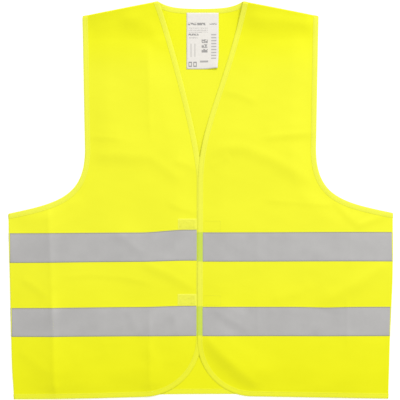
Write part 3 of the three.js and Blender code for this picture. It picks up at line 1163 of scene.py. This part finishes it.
def mark_ribbon(obj, crosses_tapes=False):
    """Marks how much painted highlight a binding gets, paler towards the neck end, and where the
    grey tape shows through it.
    """
    place = np.zeros(len(obj.data.vertices) * 3)
    obj.data.vertices.foreach_get("co", place)
    u, v, _ = place.reshape(-1, 3).T / MM
    outer_leg = np.arange(len(u)) % len(BINDING_SECTION) < OUTER_LEG
    over_tape = np.zeros(len(u))
    for low_v in TAPE_ROWS.values():
        at_tape = (v > low_v) & (v < low_v + TAPE_WIDTH) & (abs(u) < SHOW_THROUGH) & outer_leg
        over_tape = np.maximum(over_tape, at_tape * float(crosses_tapes))
    mark(obj, "over_tape", over_tape)
    rubbed = ease((v - RIBBON_HIGHLIGHT_ABOVE) / RIBBON_HIGHLIGHT_RUN)
    mark(obj, "rubbed", LEAST_RIBBON_HIGHLIGHT + (1 - LEAST_RIBBON_HIGHLIGHT) * rubbed)


front_bindings = {}
armhole_bindings = {}
for name in SIDES:
    stations = front_edge_stations(name)
    layers = [name] * len(stations[0])
    front_bindings[name] = strip(
        f"{name}_front_binding", stations, BINDING_SECTION, layers, ribbon
    )
    mark_ribbon(front_bindings[name], crosses_tapes=True)
    stations, layers = armhole_stations(name)
    armhole_bindings[name] = strip(
        f"{name}_armhole_ribbon", stations, BINDING_SECTION, layers, ribbon, closed=True
    )
    mark_ribbon(armhole_bindings[name])
back_bindings = {}
for name, stations in (("neck", back_neck_stations()), ("hem", back_hem_stations())):
    back_bindings[name] = strip(
        f"back_{name}_ribbon", stations, BINDING_SECTION, ["back"] * len(stations[0]), ribbon
    )
    mark_ribbon(back_bindings[name])
print("bindings:", len(front_bindings) + len(armhole_bindings) + len(back_bindings))

# %% [markdown]
# ## Reflective tapes
#
# Two bands run round the body. On each front a band runs from under the edge binding to the
# side seam, and on the back from seam to seam. The section has a fine row of points across, so
# that the tape bends over every fold of the cloth below it, and it is drawn in a little along
# its two stitch lines.

# %% Tape section
TAPE_STITCH = 1.7
TAPE_FACE = 0.35
tape_across = np.concatenate([[0.4, 1.1, TAPE_STITCH, 2.5], np.linspace(4.5, 45.5, 17)])
tape_across = np.concatenate([tape_across, TAPE_WIDTH - np.array([2.5, TAPE_STITCH, 1.1, 0.4])])
from_edge = np.minimum(tape_across, TAPE_WIDTH - tape_across)
near_stitch = abs(from_edge - TAPE_STITCH)
tape_face = TAPE_FACE - 0.09 * np.exp(-((near_stitch / 0.6) ** 2))
tape_section = [(0, 0.16), (0.05, 0.31)]
tape_section += list(zip(tape_across, tape_face))
tape_section += [(TAPE_WIDTH - 0.05, 0.31), (TAPE_WIDTH, 0.16)]
tape_section += [(reach, 0.08) for reach in tape_across[::-1]]


def edge_u(name, v):
    """Where a front's edge is at a height on the body."""
    curve = front_edge_curve(name)
    fall = curve[:, 1] > HEM_Y + CORNER_RADII[name] * 0.2
    return float(np.interp(-v, -curve[fall][:, 1], curve[fall][:, 0]))


def side_u(v):
    (low_x, low_y), (high_x, high_y) = SIDE_SEAM
    return low_x + (high_x - low_x) * (v - low_y) / (high_y - low_y)


def tape_stations(name, row):
    low_v = TAPE_ROWS[row]
    middle = low_v + TAPE_WIDTH / 2
    outer = side_u(middle)
    inner = -outer if name == "back" else edge_u(name, middle) + BINDING_WIDTH - 0.7
    count = int((outer - inner) / BINDING_SPACING)
    places = np.stack([np.linspace(inner, outer, count), np.full(count, low_v)], axis=1)
    across = np.tile([0.0, 1.0], (count, 1))
    return mirrored((places, across), SIDES.get(name, 1))


tapes = {}
for name in ("left", "right", "back"):
    for row in TAPE_ROWS:
        stations = tape_stations(name, row)
        piece = f"{name}_{row}_reflective_tape"
        layers = [name] * len(stations[0])
        tapes[name, row] = strip(piece, stations, tape_section, layers, tape)
print("tapes:", sorted(tapes))

# %% [markdown]
# ## Seam allowances
#
# Inside each side and shoulder seam the edges of front and back lie together as a narrow
# double layer, overlocked. It lies flat between the two layers of the body.

# %% Seams
SEAM_INSET = 1.9
SEAM_SECTION = [
    (0.3, -0.3), (0.3, 0.3), (3, 0.36), (6, 0.36),
    (8, 0.2), (8, -0.2), (6, -0.36), (3, -0.36),
]  # fmt: skip


def seam_points(side, seam, rise_at):
    """Places in a seam allowance, given as pairs of reach and rise."""
    start, end = np.array(seam[0], float), np.array(seam[1], float)
    length = np.linalg.norm(end - start)
    count = int(length / 4.0)
    share = (np.linspace(4.0, length - 4.0, count) / length)[:, None]
    line = start + (end - start) * share
    left = np.array([-(end - start)[1], (end - start)[0]]) / length
    reach, rise = np.array(rise_at, float).T
    u = (line[:, 0, None] + left[0] * reach) * side
    v = line[:, 1, None] + left[1] * reach
    top, bottom = cloth(u, v, "right"), cloth(u, v, "back")
    middle = (top + bottom) / 2
    middle[..., 2] += rise
    return middle


seam_allowances = {}
for name, side in SIDES.items():
    for place, seam in (("side", SIDE_SEAM), ("shoulder", SHOULDER_SEAM)):
        section = [(reach + SEAM_INSET, rise) for reach, rise in SEAM_SECTION]
        points = seam_points(side, seam, section)
        ribbon_uv = points[..., :2]
        piece = f"{name}_{place}_seam_cloth"
        seam_allowances[name, place] = strip_mesh(piece, points, ribbon_uv, False, seam_knit)
print("seams:", len(seam_allowances))

# %% [markdown]
# ## Patches
#
# Each fastening is a pair of small sewn patches: loops on the outside of the wearer's right
# front, hooks on the inside of the left one. A patch is a thin plate that follows the cloth,
# with its edges rounded, and Geometry Nodes grow the pile on it.

# %% Patch plates
PATCH_THICKNESS = 0.4
PATCH_CLEARANCE = 0.18
PATCH_GAP = 9.0
PATCH_DROP = 2.6


def patch_place(row, kind):
    """Centre and size of a patch on the pattern of its front."""
    name = "left" if kind == "hook" else "right"
    low, high = box_mm(f"{row}_{kind}_patch")
    size = (high - low)[:2]
    middle_v = (low[1] + high[1]) / 2 - PATCH_DROP
    middle_u = edge_u(name, middle_v) + PATCH_GAP + size[0] / 2
    return (middle_u * SIDES[name], middle_v), size


def plate(name, centre, size, face, layer, material, roundness=1.2):
    """A thin plate that follows the cloth, on its outer face (1) or on its inner one (-1)."""
    half = np.array(size) / 2
    columns = np.concatenate([[-1, -0.985], np.linspace(-0.95, 0.95, 13), [0.985, 1]])
    u, v = np.meshgrid(centre[0] + columns * half[0], centre[1] + columns * half[1])
    edge_u_gap = half[0] - abs(u - centre[0])
    edge_v_gap = half[1] - abs(v - centre[1])
    edge = np.minimum(edge_u_gap, edge_v_gap)
    high = PATCH_CLEARANCE + PATCH_THICKNESS * (0.35 + 0.65 * ease(edge / roundness))
    top = laid(u, v, face * high, layer)
    base = laid(u, v, face * PATCH_CLEARANCE, layer)
    return grid_solid(name, top, base, np.stack([u, v], axis=-1), material)


def grid_quads(shape):
    """The faces between the points of a grid."""
    index = np.arange(shape[0] * shape[1]).reshape(shape)
    corners = np.stack([index[:-1, :-1], index[:-1, 1:], index[1:, 1:], index[1:, :-1]], axis=-1)
    return corners.reshape(-1, 4)


def grid_solid(name, top, base, pattern, material):
    """Closes two matching grids of points into one thin solid."""
    shape = top.shape[:2]
    count = shape[0] * shape[1]
    index = np.arange(count).reshape(shape)
    quads = grid_quads(shape)
    faces = quads.tolist() + (quads[:, ::-1] + count).tolist()
    rim = np.concatenate([index[0, :-1], index[:-1, -1], index[-1, :0:-1], index[:0:-1, 0]])
    for a, b in zip(rim, np.roll(rim, -1)):
        faces.append([b, a, a + count, b + count])
    points = np.vstack([top.reshape(-1, 3), base.reshape(-1, 3)])
    uv = np.vstack([pattern.reshape(-1, 2)] * 2)
    obj = mesh_object(name, points, faces, uv, material)
    outwards(obj)
    return obj


patches = {}
for row in ("upper", "lower"):
    for kind, name, face, material in (
        ("hook", "left", -1, hook_ground),
        ("loop", "right", 1, loop_pile),
    ):
        centre, size = patch_place(row, kind)
        piece = f"{row}_{kind}_plate"
        patches[row, kind] = plate(piece, centre, size, face, name, material)
print("patches:", sorted(patches))

# %% [markdown]
# ## Label
#
# The care label hangs from the neck binding on the inside of the back, and its free end lifts
# and curls a little at one corner.

# %% Label
LABEL_THICKNESS = 0.22
LABEL_RISE = 2.8
LABEL_TUCK = 1.5
CURL_REACH, CURL_LIFT = 15, 2.4
label_low, label_high = box_mm("care_label")
print_shift = np.array([0, LABEL_RISE, 0])
label_print = label_finish((label_low + print_shift) * MM, (label_high + print_shift) * MM)
label_u = np.linspace(label_low[0], label_high[0], 23)
label_top = label_high[1] + LABEL_RISE + LABEL_TUCK
label_v = np.linspace(label_top, label_low[1] + LABEL_RISE, 39)
u, v = np.meshgrid(label_u, label_v)
fall = (label_v[0] - v) / (label_v[0] - label_v[-1])
corner = np.exp(-((np.hypot(u - label_high[0], v - label_v[-1]) / CURL_REACH) ** 2))
lift = 0.35 + 0.35 * ease(fall) + 0.25 * np.sin(fall * 5 + u / 24) * fall
lift = lift + CURL_LIFT * corner
top = laid(u, v, -(lift + LABEL_THICKNESS), "back")
base = laid(u, v, -lift, "back")
curl = corner[..., None] * np.array([-1.6, 2.0, 0])
satin_label = grid_solid(
    "satin_care_label", top + curl, base + curl, np.stack([u, v], axis=-1), label_print
)
print("label:", len(satin_label.data.polygons), "faces")

# %% [markdown]
# ## Stitches
#
# Thousands of stitches run along the bindings, tapes and patches. One small capsule, repeated
# along a line by Geometry Nodes, makes them all: the line is resampled at the stitch spacing,
# and a capsule is put on each point and turned along the line.


# %% Trees that plant a small piece on many points
def tree_with_inputs(name, inputs):
    """An empty tree with named inputs, and the identifier of each."""
    tree = bpy.data.node_groups.new(name, "GeometryNodeTree")
    keys = {}
    for key, label, kind, default in [("geometry", "Geometry", "Geometry", None), *inputs]:
        made = tree.interface.new_socket(label, in_out="INPUT", socket_type=f"NodeSocket{kind}")
        if default is not None:
            made.default_value = default
        keys[key] = made.identifier
    tree.interface.new_socket("Geometry", in_out="OUTPUT", socket_type="NodeSocketGeometry")
    return tree, keys


def plant(tree, piece, points, turn, size, material):
    """Puts a piece on every point, makes the copies real and paints them."""
    new, link = tree.nodes.new, tree.links.new
    smooth, sew = new("GeometryNodeSetShadeSmooth"), new("GeometryNodeInstanceOnPoints")
    real, paint = new("GeometryNodeRealizeInstances"), new("GeometryNodeSetMaterial")
    target = new("NodeGroupOutput")
    link(piece.outputs["Mesh"], smooth.inputs["Geometry"])
    link(points, sew.inputs["Points"])
    link(smooth.outputs["Geometry"], sew.inputs["Instance"])
    link(turn, sew.inputs["Rotation"])
    link(size, sew.inputs["Scale"])
    link(sew.outputs["Instances"], real.inputs["Geometry"])
    link(real.outputs["Geometry"], paint.inputs["Geometry"])
    link(material, paint.inputs["Material"])
    link(paint.outputs["Geometry"], target.inputs["Geometry"])


# %% A tree that sews along lines
STITCH_SPACING = 0.003
STITCH_SIZE = (0.00115, 0.00026, 0.0002)
SMALL_STITCH_SPACING = 0.0025
SMALL_STITCH_SIZE = (0.00095, 0.00024, 0.0002)


def stitch_tree():
    inputs = [
        ("spacing", "Spacing", "Float", STITCH_SPACING),
        ("size", "Stitch size", "Vector", STITCH_SIZE),
        ("material", "Thread", "Material", None),
    ]
    tree, keys = tree_with_inputs("stitches", inputs)
    new, link = tree.nodes.new, tree.links.new
    given = new("NodeGroupInput").outputs
    line, even = new("GeometryNodeMeshToCurve"), new("GeometryNodeResampleCurve")
    even.mode = "LENGTH"
    tangent, turn = new("GeometryNodeInputTangent"), new("FunctionNodeAlignRotationToVector")
    turn.axis = "X"
    capsule = new("GeometryNodeMeshUVSphere")
    capsule.inputs["Segments"].default_value = 6
    capsule.inputs["Rings"].default_value = 4
    capsule.inputs["Radius"].default_value = 1.0
    link(given["Geometry"], line.inputs["Mesh"])
    link(line.outputs["Curve"], even.inputs["Curve"])
    link(given["Spacing"], even.inputs["Length"])
    link(tangent.outputs["Tangent"], turn.inputs["Vector"])
    points, rotation = even.outputs["Curve"], turn.outputs["Rotation"]
    plant(tree, capsule, points, rotation, given["Stitch size"], given["Thread"])
    return tree, keys


STITCHES, STITCH_KEYS = stitch_tree()
print("stitch tree:", len(STITCHES.nodes), "nodes")


def through_nodes(obj, tree, keys, **values):
    """Runs an object through a tree and keeps the result as its plain mesh."""
    modifier = obj.modifiers.new("nodes", "NODES")
    modifier.node_group = tree
    for name, value in values.items():
        modifier[keys[name]] = value
    finish_modifiers(obj)
    return obj


def sewn(name, lines, thread, spacing=STITCH_SPACING, size=STITCH_SIZE):
    """Stitches along lines of points in space."""
    points, edges = [], []
    for line in lines:
        first = len(points)
        points += (np.asarray(line) * MM).tolist()
        edges += [(i, i + 1) for i in range(first, len(points) - 1)]
    mesh = bpy.data.meshes.new(name)
    mesh.from_pydata(points, edges, [])
    obj = bpy.data.objects.new(name, mesh)
    collection.objects.link(obj)
    through_nodes(obj, STITCHES, STITCH_KEYS, spacing=spacing, size=size, material=thread)
    print(name, len(obj.data.polygons), "faces")
    return obj


# %% [markdown]
# The lines of the stitches come from the same stations as the ribbons and tapes, at the inset
# where each section is pinched.


# %% Lines of stitches
def sewing_line(stations, reach, rise, layers):
    places, across = stations
    line = places + across * reach
    layers = np.array(layers)
    points = np.zeros((len(line), 3))
    for layer in set(layers.tolist()):
        rows = layers == layer
        points[rows] = laid(line[rows, 0], line[rows, 1], rise, layer)
    return points


BINDING_STITCH_REACH = BINDING_WIDTH - STITCH_INSET


def binding_lines(stations, layers):
    return [
        sewing_line(stations, BINDING_STITCH_REACH, 0.36, layers),
        sewing_line(stations, BINDING_STITCH_REACH, -0.34, layers),
    ]


def tape_lines(name, row):
    stations = tape_stations(name, row)
    layers = [name] * len(stations[0])
    rise = TAPE_FACE - 0.02
    reaches = (TAPE_STITCH, TAPE_WIDTH - TAPE_STITCH)
    return [sewing_line(stations, reach, rise, layers)[3:] for reach in reaches]


def patch_lines(row, kind):
    """A square of stitches just inside the edge of a patch, seen on both faces of the cloth."""
    name, face = ("left", -1) if kind == "hook" else ("right", 1)
    (middle_u, middle_v), size = patch_place(row, kind)
    half_u, half_v = size / 2 - 1.8
    corners = [(-1, -1), (1, -1), (1, 1), (-1, 1), (-1, -1)]
    square = resample([(middle_u + a * half_u, middle_v + b * half_v) for a, b in corners], 1.0)
    on_patch = laid(square[:, 0], square[:, 1], face * (PATCH_THICKNESS + 0.25), name)
    on_cloth = laid(square[:, 0], square[:, 1], -face * 0.3, name)
    return [on_patch, on_cloth]


def overlock_lines(side, seam):
    """Loops of thread that wrap the edge of a seam allowance."""
    edge = seam_points(side, seam, [(10.05, 0.0), (7.1, 0.45)])
    inner, outer = edge[:, 1], edge[:, 0]
    share = np.linspace(0, 1, len(inner) * 6)
    place = np.linspace(0, len(inner) - 1, len(share))
    swing = (0.5 + 0.5 * np.cos(place * 4 * math.pi))[:, None]
    rows = np.arange(len(inner))
    inner = np.stack([np.interp(place, rows, inner[:, i]) for i in range(3)], axis=1)
    outer = np.stack([np.interp(place, rows, outer[:, i]) for i in range(3)], axis=1)
    return inner * swing + outer * (1 - swing)


# %% Sewing
front_threads = {}
for name in SIDES:
    stations = front_edge_stations(name)
    layers = [name] * len(stations[0])
    lines = binding_lines(stations, layers)
    front_threads[name] = [
        sewn(f"{name}_front_binding_stitches", lines, yellow_thread),
        sewn(
            f"{name}_front_tape_stitches",
            tape_lines(name, "upper") + tape_lines(name, "lower"),
            grey_thread,
        ),
    ]
body_lines = []
for name in SIDES:
    stations, layers = armhole_stations(name)
    body_lines += binding_lines(stations, layers)
for stations in (back_neck_stations(), back_hem_stations()):
    body_lines += binding_lines(stations, ["back"] * len(stations[0]))
for side in SIDES.values():
    for seam in (SIDE_SEAM, SHOULDER_SEAM):
        body_lines.append(overlock_lines(side, seam))
binding_stitches = sewn("body_binding_stitches", body_lines, yellow_thread)
back_tape_stitches = sewn(
    "back_tape_stitches", tape_lines("back", "upper") + tape_lines("back", "lower"), grey_thread
)
patch_stitches = {
    kind: sewn(
        f"{kind}_patch_stitches",
        patch_lines("upper", kind) + patch_lines("lower", kind),
        yellow_thread,
        SMALL_STITCH_SPACING,
        SMALL_STITCH_SIZE,
    )
    for kind in ("hook", "loop")
}

# %% [markdown]
# ## Pile on the patches
#
# Real loops are soft arches and real hooks are stiff bent bristles, both finer than can be told
# apart from here. Both are made as one short tapered bristle of a few faces, wider and lower for
# the loops. Geometry Nodes scatter it over the face of the patch with a fixed seed, and lean and
# turn each copy its own way.


# %% A tree that plants pile
PILE_GAP = 0.00115
PILE_SEED = 4
PILE_INSET = 2.6
PILE_LEAN = 0.7


def pile_tree():
    inputs = [
        ("gap", "Gap", "Float", PILE_GAP),
        ("size", "Bristle size", "Vector", (1.0, 1.0, 1.0)),
        ("seed", "Seed", "Int", PILE_SEED),
        ("material", "Pile", "Material", None),
    ]
    tree, keys = tree_with_inputs("pile", inputs)
    new, link = tree.nodes.new, tree.links.new
    given = new("NodeGroupInput").outputs
    scatter = new("GeometryNodeDistributePointsOnFaces")
    scatter.distribute_method = "POISSON"
    scatter.inputs["Density Max"].default_value = 3.0e6
    bristle = new("GeometryNodeMeshCone")
    bristle.fill_type = "TRIANGLE_FAN"
    bristle.inputs["Vertices"].default_value = 5
    bristle.inputs["Side Segments"].default_value = 2
    bristle.inputs["Radius Top"].default_value = 0.00016
    bristle.inputs["Radius Bottom"].default_value = 0.00024
    bristle.inputs["Depth"].default_value = 0.0007
    lean = new("FunctionNodeRandomValue")
    lean.data_type = "FLOAT_VECTOR"
    lean.inputs["Min"].default_value = (-PILE_LEAN, -PILE_LEAN, 0)
    lean.inputs["Max"].default_value = (PILE_LEAN, PILE_LEAN, TURN)
    link(given["Geometry"], scatter.inputs["Mesh"])
    link(given["Gap"], scatter.inputs["Distance Min"])
    link(given["Seed"], scatter.inputs["Seed"])
    link(given["Seed"], lean.inputs["Seed"])
    points, rotation = scatter.outputs["Points"], lean.outputs["Value"]
    plant(tree, bristle, points, rotation, given["Bristle size"], given["Pile"])
    return tree, keys


# %% Pile
def pile(row, kind, layer, face, bristle, material):
    """The face of a patch, inside its stitches, turned into bristles."""
    (middle_u, middle_v), size = patch_place(row, kind)
    half_u, half_v = size / 2 - PILE_INSET
    columns = middle_u + np.linspace(-half_u, half_u, 14)
    u, v = np.meshgrid(columns, middle_v + np.linspace(-half_v, half_v, 9))
    ground = laid(u, v, face * (PATCH_THICKNESS + 0.35), layer).reshape(-1, 3)
    pattern = np.stack([u, v], axis=-1).reshape(-1, 2)
    obj = mesh_object(f"{row}_{kind}_pile", ground, grid_quads(u.shape).tolist(), pattern, material)
    values = {"gap": PILE_GAP, "size": bristle, "seed": PILE_SEED, "material": material}
    return through_nodes(obj, PILE, PILE_KEYS, **values)


PILE, PILE_KEYS = pile_tree()
piles = {}
for kind, name, face, bristle, material in (
    ("hook", "left", -1, (1.0, 1.0, 1.3), hook_ground),
    ("loop", "right", 1, (1.5, 1.5, 0.9), loop_pile),
):
    for row in ("upper", "lower"):
        piles[row, kind] = pile(row, kind, name, face, bristle, material)
print("pile:", {"_".join(key): len(obj.data.polygons) for key, obj in piles.items()})

# %% [markdown]
# ## What rides on what
#
# The back, the armhole, neck and hem bindings, the back tapes, the seam allowances and their
# stitches ride on the body of the vest. The patches, with their pile and stitches, ride on the
# front flaps. The fronts with their bindings, tapes and stitches, and the label, only have their
# placement baked into their meshes.

# %% The fronts with their placement baked in
for name, side in SIDES.items():
    folding = [front_cloths[name], front_bindings[name]]
    folding += [tapes[name, "upper"], tapes[name, "lower"], *front_threads[name]]
    for obj in folding:
        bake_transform(obj)

# %% What moves with the body and with the front flaps
on_body = [back_cloth, *armhole_bindings.values(), *back_bindings.values()]
on_body += [tapes["back", "upper"], tapes["back", "lower"], *seam_allowances.values()]
on_body += [binding_stitches, back_tape_stitches]
for obj in on_body:
    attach(obj, "root")
for (row, kind), obj in [*patches.items(), *piles.items()]:
    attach(obj, "left_front_flap" if kind == "hook" else "right_front_flap")
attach(patch_stitches["hook"], "left_front_flap")
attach(patch_stitches["loop"], "right_front_flap")
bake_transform(satin_label)
print("riding on the body:", len(on_body))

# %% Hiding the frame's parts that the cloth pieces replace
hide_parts("back_panel")
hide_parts("care_label")
for name in SIDES:
    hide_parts(f"{name}_front_side_panel", f"{name}_front_flap_panel")
    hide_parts(f"{name}_front_edge_binding", f"{name}_side_hem_binding")
    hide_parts(f"{name}_armhole_binding")
    for row in TAPE_ROWS:
        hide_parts(f"{name}_flap_{row}_tape", f"{name}_side_{row}_tape")
    for place in ("side", "shoulder"):
        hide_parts(f"{name}_{place}_seam")
for place, obj in back_bindings.items():
    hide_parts(f"back_{place}_binding")
for row in TAPE_ROWS:
    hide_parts(f"back_{row}_tape")
for (row, kind), obj in patches.items():
    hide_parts(f"{row}_{kind}_patch")

# %% Finishes by slot
binding_threads = [threads[0] for threads in front_threads.values()] + [binding_stitches]
tape_threads = [threads[1] for threads in front_threads.values()] + [back_tape_stitches]
all_bindings = [*front_bindings.values(), *armhole_bindings.values(), *back_bindings.values()]
by_slot = {
    "fabric": [*front_cloths.values(), back_cloth],
    "binding": all_bindings + binding_threads,
    "seam": list(seam_allowances.values()),
    "tape": [*tapes.values(), *tape_threads],
    "label": [satin_label],
}
for kind, stitches in patch_stitches.items():
    by_slot[f"{kind}_tape"] = [stitches]
for (row, kind), obj in [*patches.items(), *piles.items()]:
    by_slot[f"{kind}_tape"].append(obj)
print("pieces in each slot:", {slot: len(pieces) for slot, pieces in by_slot.items()})

# %% [markdown]
# ## Outlines and lengths of the sheets
#
# The outlines of the panels and the lines of stations of the bindings are worked out once more,
# and each tape's length along its line of stations, but nothing is kept of them.


def line_length(places):
    return float(np.linalg.norm(np.diff(places, axis=0), axis=1).sum()) * MM


back_outline()
for name in SIDES:
    below = ["back_cloth"] + (["right_front_cloth"] if name == "left" else [])
    front_outline(name)
    front_edge_stations(name)[0]
    armhole_stations(name)[0][0]
back_neck_stations()[0]
back_hem_stations()[0]
for (name, row), obj in tapes.items():
    length = line_length(tape_stations(name, row)[0])
    below = "back_cloth" if name == "back" else f"{name}_front_cloth"

# %% [markdown]
# ## Floor, light and camera
#
# The vest lies on a white floor under soft studio light. A broad panel of light stands beyond
# the neck, a little to the wearer's left, so that the folds get one shaded side. The rest of
# the light comes from all round.

# %% Floor
FLOOR_SIZE = 9.0
FLOOR_GLOW = 0.3
floor_mesh = bpy.data.meshes.new("floor")
reach = FLOOR_SIZE / 2
corners = [(-reach, -reach, 0), (reach, -reach, 0), (reach, reach, 0), (-reach, reach, 0)]
floor_mesh.from_pydata(corners, [], [(0, 1, 2, 3)])
floor = bpy.data.objects.new("floor", floor_mesh)
collection.objects.link(floor)
paper = Finish("white paper")
grain = paper.noise(paper.object_place(), 0.4, 1.0)
floor_mesh.materials.append(
    paper.surface(
        Base_Color=paper.mixed(grain, (0.955, 0.955, 0.955, 1), (0.965, 0.965, 0.965, 1)),
        Roughness=0.9,
        Specular_IOR_Level=0.0,
        Emission_Color=(1, 1, 1, 1),
        Emission_Strength=FLOOR_GLOW,
    )
)

# %% Light
ROUND_LIGHT = 0.66
world = bpy.data.worlds.new("studio")
world.use_nodes = True
world.node_tree.nodes["Background"].inputs["Color"].default_value = (1, 1, 1, 1)
world.node_tree.nodes["Background"].inputs["Strength"].default_value = ROUND_LIGHT
bpy.context.scene.world = world
KEY_DISTANCE = 5.5
KEY_ELEVATION = math.radians(41)
KEY_POWER = 207
KEY_WIDTH, KEY_DEPTH = 2.75, 1.8
key_data = bpy.data.lights.new("key", "AREA")
key_data.shape = "RECTANGLE"
key_data.size = KEY_WIDTH
key_data.size_y = KEY_DEPTH
key_data.energy = KEY_POWER
key = bpy.data.objects.new("key", key_data)
collection.objects.link(key)
level = math.cos(KEY_ELEVATION)
key_from = Vector((LIGHT_X * level, LIGHT_Y * level, math.sin(KEY_ELEVATION)))
key.location = key_from * KEY_DISTANCE
key.rotation_euler = key_from.to_track_quat("Z", "Y").to_euler()

# %% Camera
FRAME_WIDTH = 0.687
CAMERA_HEIGHT = 3.0
CAMERA_X = -0.0009
camera_data = bpy.data.cameras.new("camera")
camera_data.sensor_width = 36
camera_data.lens = 36 * CAMERA_HEIGHT / FRAME_WIDTH
camera = bpy.data.objects.new("camera", camera_data)
collection.objects.link(camera)
camera.location = (CAMERA_X, 0, CAMERA_HEIGHT)
bpy.context.scene.camera = camera
bpy.context.scene.view_settings.view_transform = "Standard"
print("camera height, m:", CAMERA_HEIGHT)

# %% Finish
bpy.context.view_layer.update()
